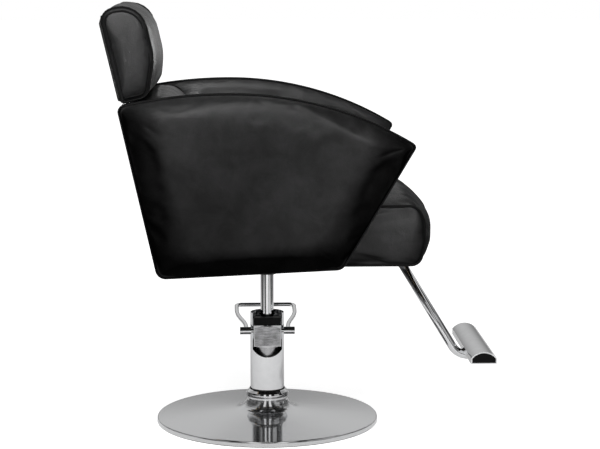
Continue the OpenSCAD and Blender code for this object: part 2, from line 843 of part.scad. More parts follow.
module back_brackets() {
    color("dimgray") difference() {
        both_sides() translate([bb_back_x, bb_y - bracket_w / 2, board_z - bracket_t])
            cube([bb_front_x - bb_back_x, bracket_w, bracket_t]);
        for (x = [bb_screw_x, bb_back_screw_x], y = [-bb_y, bb_y])
            translate([x, y, board_z - 2 * bracket_t]) cylinder(h = 3 * bracket_t, r = small_r + run_gap);
    }
}

module bracket_screws() {
    color("silver") {
        at_bracket_screws() translate([0, 0, board_z - bracket_t])
            screw(small_r, small_head_r, small_head_h, bracket_t + small_bite);
        at_back_screws() translate([0, 0, board_z - bracket_t])
            screw(small_r, small_head_r, small_head_h, bracket_t + small_bite);
        both_sides() at_arm_screws() translate([0, bracket_y, 0]) rotate([-90, 0, 0])
            screw(small_r, small_head_r, small_head_h, arm_board_y - bracket_y + small_bite - over);
    }
}

// Back
module lean() {
    translate([-back_foot_x, 0, back_foot_z]) rotate([0, -back_lean, 0]) children();
}

module strap_boxes() {
    for (y = [-strap_y, strap_y]) translate([cover_t, y - strap_half_w, strap_low])
        cube([strap_t, 2 * strap_half_w, strap_high - strap_low]);
}

module strap_screw_set(r) {
    for (y = [-strap_y, strap_y], z = strap_screw_heights) translate([cover_t, y, z]) rotate([0, 90, 0])
        cylinder(h = small_bite, r = r);
}

module back_board() {
    color("burlywood") difference() {
        lean() translate([cover_t, -back_half_w, -back_low])
            cube([back_board_t, 2 * back_half_w, back_h + back_low]);
        lean() strap_boxes();
        lean() strap_screw_set(strap_screw_r);
        at_back_screws() translate([0, 0, board_z - over]) cylinder(h = small_bite + over, r = small_r);
    }
}

module back_panel() {
    color("black") lean() translate([0, -back_half_w, -back_low])
        cube([cover_t, 2 * back_half_w, back_h + back_low]);
}

lumbar_side = rounded(
    [[back_board_x, lumbar_rear_low], [lumbar_depth, lumbar_low], [lumbar_depth + lumbar_brow, lumbar_top],
     [lumbar_gap_x, lumbar_gap_z], [lumbar_shelf_x, lumbar_shelf], [back_board_x, back_h]],
    lumbar_side_radii, cushion_steps);
lumbar_mid = rounded(
    [[back_board_x, lumbar_rear_low], [lumbar_depth + lumbar_crown, lumbar_mid_low],
     [lumbar_depth + lumbar_crown + lumbar_mid_brow, lumbar_mid_top],
     [lumbar_gap_mid_x, lumbar_top], [lumbar_shelf_x, lumbar_shelf], [back_board_x, back_h]],
    lumbar_mid_radii, cushion_steps);

module lumbar_cushion() {
    color("black") lean() cushion(lumbar_side, lumbar_mid, lumbar_half_w, lumbar_bulge, lumbar_centre);
}

module headrest_straps() {
    color("gray") lean() difference() {
        strap_boxes();
        strap_screw_set(strap_screw_r);
    }
}

module strap_screws() {
    color("silver") lean() strap_screw_set(strap_screw_r);
}

module headrest_board() {
    color("burlywood") lean() difference() {
        translate([cover_t, -head_board_half_w, head_board_low])
            cube([head_board_t, 2 * head_board_half_w, head_board_h]);
        strap_boxes();
        strap_screw_set(strap_screw_r);
    }
}

module headrest_panel() {
    color("black") lean() translate([0, -head_board_half_w, head_panel_low])
        cube([cover_t, 2 * head_board_half_w, head_board_low - head_panel_low + head_board_h]);
}

head_top_v = head_low + head_rest_h;
head_side = rounded(
    [[head_rear_x, head_low], [head_depth - head_chin, head_low],
     [head_depth + head_brow, head_low + head_cheek_h], [head_depth + head_brow, head_top_v],
     [head_rear_x, head_top_v]],
    head_side_radii, cushion_steps);
head_mid = rounded(
    [[head_rear_x, head_mid_low], [head_depth + head_mid_chin, head_mid_low],
     [head_depth + head_crown + head_mid_brow, head_low + head_mid_cheek_h],
     [head_depth + head_crown + head_mid_brow, head_top_v + head_mid_rise],
     [head_rear_x, head_top_v + head_mid_rise]],
    head_mid_radii, cushion_steps);

module headrest_cushion() {
    color("black") lean() difference() {
        cushion(head_side, head_mid, head_half_y, head_bulge, [head_centre_x, head_low + head_rest_h / 2]);
        translate([cover_t - over, -head_board_half_w, head_board_low])
            cube([head_board_t + over, 2 * head_board_half_w, head_board_h]);
        translate([0, -head_board_half_w, 0])
            cube([head_rear_x + over, 2 * head_board_half_w, head_board_low + over]);
    }
}

// Footrest
module at_foot_screws() {
    for (x = foot_screw_xs, y = [-foot_screw_y, foot_screw_y]) translate([x, y, 0]) children();
}

// The tube's run, in the upright plane of the chair's middle
module foot_path(r, extra) {
    up = [-cos(foot_slope), sin(foot_slope)];
    low = [foot_corner_x, foot_low_z];
    top = low + up * ((foot_top_z - foot_low_z) / sin(foot_slope) + extra);
    rotate([90, 0, 0]) swept([top, low, [foot_end_x + extra, foot_low_z]], [foot_bend_r], r);
}

module footrest_tube() {
    color("lightgray") difference() {
        foot_path(foot_tube_r, 0);
        foot_path(foot_tube_r - foot_tube_wall, over);
        foot_bolt_holes();
    }
}

module foot_bolt_holes() {
    for (x = foot_bolt_xs) translate([x, 0, 0]) cylinder(h = bar_z + bar_side_h, r = small_r + run_gap);
}

module footrest_socket() {
    turn = 90 - foot_slope;
    color("dimgray") difference() {
        union() {
            translate([foot_plate_back, -foot_plate_half_w, mount_z])
                cube([foot_plate_front - foot_plate_back, 2 * foot_plate_half_w, mount_t]);
            intersection() {
                translate([foot_top_x, 0, foot_top_z]) rotate([0, turn + 180, 0])
                    translate([0, 0, -foot_socket_r]) mirror([0, 0, 1]) translate([0, 0, -3 * foot_socket_r])
                    cylinder(h = 4 * foot_socket_r, r = foot_socket_r);
                translate([0, -foot_plate_half_w, foot_socket_z])
                    cube([foot_end_x, 2 * foot_plate_half_w, mount_z - foot_socket_z]);
            }
        }
        foot_path(foot_tube_r, 0);
        at_foot_screws() translate([0, 0, mount_z - over])
            cylinder(h = mount_t + 2 * over, r = small_r + run_gap);
    }
}

module footrest_socket_screws() {
    color("silver") at_foot_screws() translate([0, 0, mount_z])
        screw(small_r, small_head_r, small_head_h, mount_t + small_bite - over);
}

module footrest_saddle() {
    color("dimgray") difference() {
        translate([saddle_back, -saddle_half_w, foot_low_z + foot_tube_r / 2])
            cube([foot_end_x - saddle_back, 2 * saddle_half_w, bar_z - foot_low_z - foot_tube_r / 2]);
        foot_path(foot_tube_r, over);
        foot_bolt_holes();
    }
}

module footrest_bolts() {
    low = foot_low_z - foot_tube_r;
    color("silver") for (x = foot_bolt_xs) translate([x, 0, low])
        screw(small_r, small_head_r, small_head_h, bar_z + bar_wall - low + over);
}

module bar_form(wall, len) {
    intersection() {
        translate([bar_x - bar_w / 2 + wall, -len / 2, bar_z + wall])
            cube([bar_w - 2 * wall, len, bar_side_h + bar_dome_h]);
        translate([bar_x, len / 2, bar_z + bar_side_h + bar_dome_h - bar_dome_r]) rotate([90, 0, 0])
            cylinder(h = len, r = bar_dome_r - wall);
    }
}

module footrest_bar() {
    color("lightgray") difference() {
        bar_form(0, bar_len);
        bar_form(bar_wall, bar_len + 2 * over);
        foot_bolt_holes();
    }
}

module footrest_caps() {
    color("black") difference() {
        bar_form(bar_wall, bar_len);
        translate([0, -bar_len / 2 + plug_len, 0])
            cube([foot_end_x + bar_w, bar_len - 2 * plug_len, board_z]);
    }
}

// Lever: its rod is bent in one plane, and its corners are round
lever_path = [
    [lever_foot_w, axle_r], [lever_foot_w, lever_straight], [lever_wide_w, lever_spread],
    [lever_wide_w, lever_len], [-lever_wide_w, lever_len], [-lever_wide_w, lever_spread],
    [-lever_foot_w, lever_straight], [-lever_foot_w, axle_r]
];
lever_bends = [lever_bend_r, lever_bend_r, lever_corner_r, lever_corner_r, lever_bend_r, lever_bend_r];
module lever_plane() {
    translate([0, -axle_y, axle_z]) rotate([lever_tilt, 0, 0]) children();
}

module lever_loop() {
    color("lightgray") lever_plane() swept(lever_path, lever_bends, lever_rod_r);
}

module lever_axle() {
    color("silver") translate([-axle_len / 2, -axle_y, axle_z]) rotate([0, 90, 0])
        cylinder(h = axle_len, r = axle_r);
}

module lever_cam() {
    color("gray") translate([-cam_half_w, -axle_y, axle_z]) difference() {
        union() {
            rotate([0, 90, 0]) cylinder(h = 2 * cam_half_w, r = cam_hub_r);
            translate([0, -cam_reach, cam_lift]) rotate([0, 90, 0])
                cylinder(h = 2 * cam_half_w, r = cam_tip_r);
            translate([0, -cam_reach, cam_lift]) rotate([-atan2(cam_lift, cam_reach), 0, 0])
                translate([0, 0, -cam_arm_half_t]) cube([2 * cam_half_w, cam_reach, 2 * cam_arm_half_t]);
        }
        translate([-over, 0, 0]) rotate([0, 90, 0]) cylinder(h = 2 * cam_half_w + 2 * over, r = axle_r);
    }
}

module lever_collars() {
    color("lightgray") difference() {
        for (x = [-axle_len / 2, hub_in_x]) translate([x, -axle_y, axle_z]) rotate([0, 90, 0])
            tube(axle_len / 2 - hub_in_x, hub_r, axle_r);
        lever_plane() for (x = [-lever_foot_w, lever_foot_w]) translate([x, 0, 0]) rotate([-90, 0, 0])
            cylinder(h = 2 * hub_r, r = lever_rod_r);
    }
}

module plunger() {
    color("silver") translate([0, -plunger_y, plunger_z]) cylinder(h = plunger_h, r = plunger_r);
}

base_trim_ring();
base_disc();
base_plate();
flange_nuts();
flange_bolts();
pump_flange();
collar_ring();
collar_seal();
pump_shroud();
pump_reservoir();
barrel_cap();
pump_barrel();
pump_head();
head_face_plate();
head_cap();
rod_bush();
gland_ring();
rod_wiper();
plunger_spring();
piston();
piston_seal();
thrust_washer();
piston_rod();
seat_socket();
seat_plate();
seat_plate_bolts();
seat_board();
seat_cushion();
back_board();
back_panel();
lumbar_cushion();
headrest_straps();
strap_screws();
headrest_board();
headrest_panel();
headrest_cushion();
mirror([0, 1, 0]) arm_board();  // arm_board_right
arm_board();  // arm_board_left
mirror([0, 1, 0]) arm_outer_pad();  // arm_outer_pad_right
arm_outer_pad();  // arm_outer_pad_left
mirror([0, 1, 0]) arm_inner_pad();  // arm_inner_pad_right
arm_inner_pad();  // arm_inner_pad_left
mirror([0, 1, 0]) arm_edge_band();  // arm_edge_band_right
arm_edge_band();  // arm_edge_band_left
arm_brackets();
back_brackets();
bracket_screws();
footrest_socket();
footrest_socket_screws();
footrest_tube();
footrest_saddle();
footrest_bolts();
footrest_bar();
footrest_caps();
lever_axle();
lever_cam();
lever_collars();
lever_loop();
plunger();
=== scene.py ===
"""Looks of the hairdressing chair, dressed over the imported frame. Metres, same frame as the solids."""

import bisect
import json
import math

import bpy
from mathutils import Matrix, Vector, noise
from mathutils.geometry import tessellate_polygon

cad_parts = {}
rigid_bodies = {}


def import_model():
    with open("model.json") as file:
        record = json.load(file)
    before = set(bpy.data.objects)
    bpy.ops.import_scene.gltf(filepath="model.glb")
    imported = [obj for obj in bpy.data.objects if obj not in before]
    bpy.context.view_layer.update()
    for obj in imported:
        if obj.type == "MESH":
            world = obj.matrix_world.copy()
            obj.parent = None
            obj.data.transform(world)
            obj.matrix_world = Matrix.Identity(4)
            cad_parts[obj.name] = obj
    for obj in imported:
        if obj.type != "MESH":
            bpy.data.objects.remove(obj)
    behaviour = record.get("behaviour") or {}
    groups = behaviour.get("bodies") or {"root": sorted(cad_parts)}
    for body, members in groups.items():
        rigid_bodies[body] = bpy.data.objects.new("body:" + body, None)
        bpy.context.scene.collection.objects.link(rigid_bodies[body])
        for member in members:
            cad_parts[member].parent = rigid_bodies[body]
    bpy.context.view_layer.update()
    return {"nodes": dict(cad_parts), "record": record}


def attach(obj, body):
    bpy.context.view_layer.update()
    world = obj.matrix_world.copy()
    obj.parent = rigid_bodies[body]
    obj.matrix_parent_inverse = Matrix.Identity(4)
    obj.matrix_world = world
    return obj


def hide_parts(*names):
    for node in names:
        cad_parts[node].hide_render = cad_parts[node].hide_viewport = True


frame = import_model()
MM = 0.001
scene = bpy.context.scene
nodes = frame["nodes"]
for name in ("Cube", "Light", "Camera"):
    if name in bpy.data.objects:
        bpy.data.objects.remove(bpy.data.objects[name])


# Shapes, as lists of points in millimetres

def corner(before, p, after, radius, steps):
    """The points of one corner of an outline, rounded to a radius."""
    a, b = (before - p).normalized(), (after - p).normalized()
    half = math.acos(max(-1.0, min(1.0, a.dot(b)))) / 2
    cut = radius / math.tan(half)
    centre = p + (a + b).normalized() * (radius / math.sin(half))
    start, end = p + a * cut - centre, p + b * cut - centre
    sweep = math.pi - 2 * half

    def on_arc(t):
        return centre + (start * math.sin(sweep * (1 - t)) + end * math.sin(sweep * t)) / math.sin(sweep)

    return [on_arc(k / steps) for k in range(steps + 1)]


def rounded(corners, radii, steps, edges):
    """A closed outline: each corner rounded, and edges[i] points along the edge after corner i."""
    pts = [Vector(c) for c in corners]
    n = len(pts)
    arcs = [corner(pts[i - 1], pts[i], pts[(i + 1) % n], radii[i], steps) for i in range(n)]
    out = []
    for i in range(n):
        out += arcs[i]
        a, b = arcs[i][-1], arcs[(i + 1) % n][0]
        m = edges[i]
        out += [a.lerp(b, (k + 1) / (m + 1)) for k in range(m)]
    return out


def open_path(pts, bends, steps=14):
    """A path in one plane with each inner corner bent to a radius."""
    v = [Vector(p) for p in pts]
    run = [v[0]]
    for i in range(1, len(v) - 1):
        run += corner(v[i - 1], v[i], v[i + 1], bends[i - 1], steps)
    return run + [v[-1]]


def edge_counts(corners, step):
    """How many points each edge of an outline gets, about one step apart."""
    n = len(corners)
    lengths = [(Vector(corners[i]) - Vector(corners[(i + 1) % n])).length for i in range(n)]
    return [max(1, int(length / step)) for length in lengths]


def smoothstep(t):
    t = max(0.0, min(1.0, t))
    return t * t * (3 - 2 * t)


def mesh_object(name, verts, faces, smooth=True):
    """An object in metres from points in millimetres."""
    mesh = bpy.data.meshes.new(name)
    mesh.from_pydata([Vector(v) * MM for v in verts], [], faces)
    mesh.validate()
    for poly in mesh.polygons:
        poly.use_smooth = smooth
    obj = bpy.data.objects.new(name, mesh)
    scene.collection.objects.link(obj)
    return obj


def tube(name, path, radius, sides=10, closed=False):
    """A round bar along a 3-D path, its frame carried along without twist."""
    pts = [Vector(p) for p in path]
    n = len(pts)
    verts, faces = [], []
    aims = []
    for i in range(n):
        before = pts[i - 1] if i or closed else pts[i]
        after = pts[(i + 1) % n] if i < n - 1 or closed else pts[i]
        aims.append((after - before).normalized())
    side = aims[0].orthogonal().normalized()
    for i in range(n):
        side = (side - aims[i] * side.dot(aims[i])).normalized()
        up = aims[i].cross(side)
        for k in range(sides):
            a = 2 * math.pi * k / sides
            verts.append(pts[i] + side * (radius * math.cos(a)) + up * (radius * math.sin(a)))
    shift = 0
    if closed:
        last = verts[(n - 1) * sides]
        shift = min(range(sides), key=lambda s: (verts[s] - last).length)
    for i in range(n if closed else n - 1):
        for k in range(sides):
            a, b = i * sides + k, i * sides + (k + 1) % sides
            if i == n - 1:
                c, d = (k + shift) % sides, (k + 1 + shift) % sides
            else:
                c, d = a + sides, b + sides
            faces.append((a, b, d, c))
    if not closed:
        faces.append(tuple(range(sides))[::-1])
        faces.append(tuple((n - 1) * sides + k for k in range(sides)))
    return mesh_object(name, verts, faces)


def cap_faces(ring, first, along):
    """Triangles that close a ring, turned the way of its points or against it."""
    newell = Vector((0, 0, 0))
    for i, p in enumerate(ring):
        newell += p.cross(ring[(i + 1) % len(ring)])
    out = []
    for a, b, c in tessellate_polygon([ring]):
        turn = (ring[b] - ring[a]).cross(ring[c] - ring[a]).dot(newell)
        tri = (a, b, c) if (turn > 0) == along else (c, b, a)
        out.append(tuple(first + k for k in tri))
    return out


def loft(rings, cap_start, cap_end):
    """Quads between rings of equal count, with either end closed."""
    n = len(rings[0])
    verts = [v for r in rings for v in r]
    faces = []
    for i in range(len(rings) - 1):
        for k in range(n):
            a, b = i * n + k, i * n + (k + 1) % n
            faces.append((a, b, b + n, a + n))
    if cap_start:
        faces += cap_faces(rings[0], 0, False)
    if cap_end:
        faces += cap_faces(rings[-1], (len(rings) - 1) * n, True)
    return verts, faces


def reversed_faces(faces):
    return [f[::-1] for f in faces]


# Sizes that repeat the solids, in millimetres

LEAN = math.radians(13)
FOOT = Vector((-239.0, 0.0, 399.0))
ARM_IN = 245.0
ARM_BOARD = 260.0
ARM_SKIN = 278.0
ARM_OUT = 310.0
APEX_X = -82.0
APEX_Z = 759.0
FRONT_R = 745.0
REAR_R = 1050.0
TIP_X = 305.0
FRONT_LEAN = math.radians(30.7)
LOW_FRONT_Z = 392.5
LOW_BACK = Vector((-234.0, 375.0))
TOP_BACK_X = -314.0
LOW_BACK_R = 20
LOW_FRONT_R = 22
TIP_R = 7
TOP_BACK_R = 12
SEAT_HALF = 235
BACK_HALF = 235
HEAD_HALF = 205


def same(v):
    return v


def leaned(v):
    """From the back's leaning frame (depth, Y, height) to the chair's."""
    return Vector((FOOT.x + v.x * math.cos(LEAN) - v.z * math.sin(LEAN), v.y,
                   FOOT.z + v.x * math.sin(LEAN) + v.z * math.cos(LEAN)))


def arm_top(x, r):
    return APEX_Z - r + math.sqrt(r * r - (x - APEX_X) ** 2)


TIP = Vector((TIP_X, arm_top(TIP_X, FRONT_R)))
LOW_FRONT = Vector((TIP.x - (TIP.y - LOW_FRONT_Z) * math.tan(FRONT_LEAN), LOW_FRONT_Z))
TOP_BACK = Vector((TOP_BACK_X, arm_top(TOP_BACK_X, REAR_R)))
ARM_STEP = 7.0
FRONT_POINTS = 44
REAR_POINTS = 26
FRONT_SHARE = 0.97
REAR_SHARE = 0.93


def arm_outline():
    """Side outline of an arm: up its front, back over its top and down its rear."""

    def over_top(end_x, share, t, r):
        x = APEX_X + (end_x - APEX_X) * share * t
        return Vector((x, arm_top(x, r)))

    def run(a, b):
        k = max(1, int((b - a).length / ARM_STEP))
        return [a.lerp(b, (i + 1) / (k + 1)) for i in range(k)]

    front = [over_top(TIP_X, FRONT_SHARE, i / FRONT_POINTS, FRONT_R) for i in range(FRONT_POINTS, -1, -1)]
    rear = [over_top(TOP_BACK_X, REAR_SHARE, i / REAR_POINTS, REAR_R) for i in range(1, REAR_POINTS + 1)]
    c1 = corner(TOP_BACK, LOW_BACK, LOW_FRONT, LOW_BACK_R, 8)
    c2 = corner(LOW_BACK, LOW_FRONT, TIP, LOW_FRONT_R, 8)
    c3 = corner(LOW_FRONT, TIP, front[0], TIP_R, 6)
    c4 = corner(rear[-1], TOP_BACK, LOW_BACK, TOP_BACK_R, 6)
    return c1 + run(c1[-1], c2[0]) + c2 + run(c2[-1], c3[0]) + c3 + front + rear + c4 + run(c4[-1], c1[0])


ARM = arm_outline()
ARM_MID = Vector((-30.0, 575.0))
EDGE_POWERS = (0.8, 0.85, 0.6, 0.85)


def line_distance(p, a, b):
    d = (b - a).normalized()
    return d.x * (p.y - a.y) - d.y * (p.x - a.x)


def arm_edges(p):
    """Distance inside each of the arm's four edges: bottom, front, top, back."""
    r = FRONT_R if p.x > APEX_X else REAR_R
    top = r - (p - Vector((APEX_X, APEX_Z - r))).length
    return (line_distance(p, LOW_BACK, LOW_FRONT), line_distance(p, LOW_FRONT, TIP), top,
            line_distance(p, TOP_BACK, LOW_BACK))


def arm_height(p, widths):
    """How far the padding has risen at a point, 0 at the seam and 1 in the middle."""
    h = 1.0
    for d, w, power in zip(arm_edges(p), widths, EDGE_POWERS):
        t = max(0.0, min(1.0, d / w))
        h *= max(0.0, 1 - (1 - t) ** 2) ** power
    return h


# Shader helpers

def new_material(name):
    mat = bpy.data.materials.new(name)
    mat.use_nodes = True
    tree = mat.node_tree
    tree.nodes.clear()
    out = tree.nodes.new("ShaderNodeOutputMaterial")
    bsdf = tree.nodes.new("ShaderNodeBsdfPrincipled")
    tree.links.new(bsdf.outputs["BSDF"], out.inputs["Surface"])
    return mat, tree, bsdf


def coords(tree, scale=(1, 1, 1)):
    tex = tree.nodes.new("ShaderNodeTexCoord")
    mapping = tree.nodes.new("ShaderNodeMapping")
    mapping.inputs["Scale"].default_value = scale
    tree.links.new(tex.outputs["Object"], mapping.inputs["Vector"])
    return mapping.outputs["Vector"]


def noise_node(tree, vector, scale, detail=4.0, rough=0.55, distortion=0.0):
    n = tree.nodes.new("ShaderNodeTexNoise")
    n.inputs["Scale"].default_value = scale
    n.inputs["Detail"].default_value = detail
    n.inputs["Roughness"].default_value = rough
    n.inputs["Distortion"].default_value = distortion
    tree.links.new(vector, n.inputs["Vector"])
    return n.outputs["Fac"]


def remap(tree, value, lo, hi, out_lo, out_hi, smooth=False):
    n = tree.nodes.new("ShaderNodeMapRange")
    if smooth:
        n.interpolation_type = "SMOOTHSTEP"
    n.inputs["From Min"].default_value = lo
    n.inputs["From Max"].default_value = hi
    n.inputs["To Min"].default_value = out_lo
    n.inputs["To Max"].default_value = out_hi
    tree.links.new(value, n.inputs["Value"])
    return n.outputs["Result"]


def ramp(tree, value, lo, hi, out_lo=0.0, out_hi=1.0):
    """A soft step between two values."""
    return remap(tree, value, lo, hi, out_lo, out_hi, smooth=True)


def math_node(tree, op, a, b=None, clamp=False):
    """One sum of sockets or numbers."""
    n = tree.nodes.new("ShaderNodeMath")
    n.operation = op
    n.use_clamp = clamp
    for k, v in enumerate((a, b)):
        if v is None:
            continue
        if isinstance(v, (int, float)):
            n.inputs[k].default_value = v
        else:
            tree.links.new(v, n.inputs[k])
    return n.outputs[0]


def split_xyz(tree, vector):
    n = tree.nodes.new("ShaderNodeSeparateXYZ")
    tree.links.new(vector, n.inputs[0])
    return n.outputs


def mix_color(tree, fac, a, b):
    n = tree.nodes.new("ShaderNodeMix")
    n.data_type = "RGBA"
    n.inputs["A"].default_value = (*a, 1)
    n.inputs["B"].default_value = (*b, 1)
    tree.links.new(fac, n.inputs["Factor"])
    return n.outputs["Result"]


def mix_shader(tree, fac, a, b):
    """Mixes two shaders, by a socket or a number."""
    n = tree.nodes.new("ShaderNodeMixShader")
    if isinstance(fac, float):
        n.inputs["Fac"].default_value = fac
    else:
        tree.links.new(fac, n.inputs["Fac"])
    tree.links.new(a, n.inputs[1])
    tree.links.new(b, n.inputs[2])
    return n.outputs["Shader"]


def bump(tree, height, strength, distance, normal=None):
    n = tree.nodes.new("ShaderNodeBump")
    n.inputs["Strength"].default_value = strength
    n.inputs["Distance"].default_value = distance
    tree.links.new(height, n.inputs["Height"])
    if normal is not None:
        tree.links.new(normal, n.inputs["Normal"])
    return n.outputs["Normal"]


# Materials

def painted_shade_by_facing(tree, least):
    """Painted shade by the way a face looks: 1 on a face that looks sideways or up, down to least where it
    turns to an end or underneath.
    """
    way = tree.nodes.new("ShaderNodeTexCoord")
    parts = split_xyz(tree, way.outputs["Normal"])
    ends = remap(tree, math_node(tree, "ABSOLUTE", parts["X"]), 0.08, 0.5, 1.0, least)
    under = remap(tree, parts["Z"], -0.4, 0.04, least, 1.0)
    return math_node(tree, "MULTIPLY", ends, under)


def leather(name, dark, light, rough, wrinkle, specular, painted_shade_least=1.0):
    """Black leatherette: fine pebbled grain, soft creases, uneven sheen and paler rubbed patches.

    With its last argument below 1 it gets painted shade: a deeper black and less sheen where it turns over an
    end or underneath."""
    mat, tree, bsdf = new_material(name)
    v = coords(tree)
    patches = noise_node(tree, v, 16, 6, 0.62, 0.35)
    fine = noise_node(tree, v, 130, 5, 0.6, 0.2)
    color = mix_color(tree, remap(tree, patches, 0.38, 0.66, 0, 1), dark, light)
    sheen = math_node(tree, "ADD", remap(tree, patches, 0.3, 0.7, rough + 0.07, rough - 0.07),
                      remap(tree, fine, 0.3, 0.7, -0.03, 0.03))
    if painted_shade_least == 1.0:
        bsdf.inputs["Specular IOR Level"].default_value = specular
    else:
        # Painted shade: colour and specular are scaled down where the face turns to an end or underneath, and
        # the roughness rises there.
        painted_shade_factor = painted_shade_by_facing(tree, painted_shade_least)
        shade = tree.nodes.new("ShaderNodeVectorMath")
        shade.operation = "SCALE"
        tree.links.new(color, shade.inputs[0])
        tree.links.new(painted_shade_factor, shade.inputs["Scale"])
        color = shade.outputs["Vector"]
        tree.links.new(math_node(tree, "MULTIPLY", painted_shade_factor, specular), bsdf.inputs["Specular IOR Level"])
        sheen = math_node(tree, "ADD", remap(tree, painted_shade_factor, 0.0, 1.0, 0.5, 0.0), sheen, clamp=True)
    tree.links.new(color, bsdf.inputs["Base Color"])
    tree.links.new(sheen, bsdf.inputs["Roughness"])
    cells = tree.nodes.new("ShaderNodeTexVoronoi")
    cells.feature = "DISTANCE_TO_EDGE"
    cells.inputs["Scale"].default_value = 620
    tree.links.new(v, cells.inputs["Vector"])
    grain = remap(tree, cells.outputs["Distance"], 0.0, 0.22, 0, 1)
    creases = noise_node(tree, v, 34, 5, 0.58, 1.1)
    normal = bump(tree, creases, wrinkle, 0.004)
    normal = bump(tree, fine, 0.22, 0.0006, normal)
    normal = bump(tree, grain, 0.3, 0.0003, normal)
    tree.links.new(normal, bsdf.inputs["Normal"])
    return mat


def metal(name, color, rough, spread=0.02, streak=(1, 1, 1)):
    """A metal with faint dust, uneven sheen and fine marks."""
    mat, tree, bsdf = new_material(name)
    v = coords(tree, streak)
    dust = noise_node(tree, v, 60, 6, 0.6)
    marks = noise_node(tree, v, 420, 3, 0.5)
    bsdf.inputs["Metallic"].default_value = 1.0
    tree.links.new(mix_color(tree, remap(tree, dust, 0.35, 0.75, 0, 1), color, [c * 0.93 for c in color]),
                   bsdf.inputs["Base Color"])
    tree.links.new(remap(tree, dust, 0.3, 0.75, max(0.0, rough - spread), rough + spread),
                   bsdf.inputs["Roughness"])
    tree.links.new(bump(tree, marks, 0.02, 0.0002), bsdf.inputs["Normal"])
    return mat


def spun_chrome():
    """Polished chrome on a spun disc: a clear reflection under one that fine rings stretch outward."""
    mat, tree, clear = new_material("spun_chrome")
    dust = noise_node(tree, coords(tree), 40, 6, 0.6)
    spun = tree.nodes.new("ShaderNodeBsdfPrincipled")
    for bsdf, rough_lo, rough_hi in ((clear, 0.045, 0.075), (spun, 0.24, 0.28)):
        bsdf.inputs["Metallic"].default_value = 1.0
        bsdf.inputs["Base Color"].default_value = (0.8, 0.805, 0.815, 1)
        tree.links.new(remap(tree, dust, 0.3, 0.75, rough_lo, rough_hi), bsdf.inputs["Roughness"])
    spun.inputs["Anisotropic"].default_value = 0.95
    spun.inputs["Anisotropic Rotation"].default_value = 0.25
    tangent = tree.nodes.new("ShaderNodeTangent")
    tangent.direction_type = "RADIAL"
    tangent.axis = "Z"
    tree.links.new(tangent.outputs["Tangent"], spun.inputs["Tangent"])
    out = [n for n in tree.nodes if n.type == "OUTPUT_MATERIAL"][0]
    tree.links.new(mix_shader(tree, 0.35, clear.outputs["BSDF"], spun.outputs["BSDF"]), out.inputs["Surface"])
    return mat


def scuffed_face():
    """A dulled chrome face with level streaks of darker and lighter metal."""
    mat, tree, bsdf = new_material("scuffed_face")
    streaks = noise_node(tree, coords(tree, (18, 1, 150)), 2.2, 5, 0.65, 0.6)
    cloud = noise_node(tree, coords(tree), 70, 3, 0.5)
    bsdf.inputs["Metallic"].default_value = 1.0
    shade = math_node(tree, "ADD", remap(tree, streaks, 0.3, 0.7, 0.0, 0.7),
                      remap(tree, cloud, 0.35, 0.65, 0.0, 0.3))
    tree.links.new(mix_color(tree, shade, (0.09, 0.09, 0.092), (0.52, 0.52, 0.53)), bsdf.inputs["Base Color"])
    tree.links.new(remap(tree, streaks, 0.3, 0.7, 0.12, 0.26), bsdf.inputs["Roughness"])
    tree.links.new(bump(tree, streaks, 0.1, 0.0004), bsdf.inputs["Normal"])
    return mat


def plain(name, color, rough, grain, specular=0.4):
    """A matt surface with faint blots and a fine grain."""
    mat, tree, bsdf = new_material(name)
    v = coords(tree)
    blot = noise_node(tree, v, 45, 5, 0.6)
    fine = noise_node(tree, v, grain, 4, 0.6)
    tree.links.new(mix_color(tree, blot, [c * 0.8 for c in color], [c * 1.25 for c in color]),
                   bsdf.inputs["Base Color"])
    tree.links.new(remap(tree, fine, 0.3, 0.7, rough - 0.05, rough + 0.05), bsdf.inputs["Roughness"])
    tree.links.new(bump(tree, fine, 0.25, 0.0004), bsdf.inputs["Normal"])
    bsdf.inputs["Specular IOR Level"].default_value = specular
    return mat


def plywood():
    mat, tree, bsdf = new_material("plywood")
    wave = noise_node(tree, coords(tree, (1.0, 6.0, 1.0)), 22, 6, 0.65, 1.4)
    tree.links.new(mix_color(tree, remap(tree, wave, 0.3, 0.7, 0, 1), (0.52, 0.36, 0.2), (0.74, 0.58, 0.38)),
                   bsdf.inputs["Base Color"])
    bsdf.inputs["Roughness"].default_value = 0.62
    tree.links.new(bump(tree, wave, 0.15, 0.0005), bsdf.inputs["Normal"])
    return mat


LEATHER = leather("leatherette", (0.005, 0.005, 0.0051), (0.012, 0.012, 0.0123), 0.4, 0.16, 0.26)
# These two hides carry painted shade: darker and less glossy where a face turns to an end or underneath.
LEATHER_PAINTED_SHADE = leather("leatherette_turned", (0.003, 0.003, 0.0031), (0.011, 0.011, 0.0113), 0.4, 0.18, 0.26, 0.12)
SEAT_HIDE = leather("leatherette_seat", (0.004, 0.004, 0.0041), (0.011, 0.011, 0.0113), 0.4, 0.18, 0.28, 0.35)
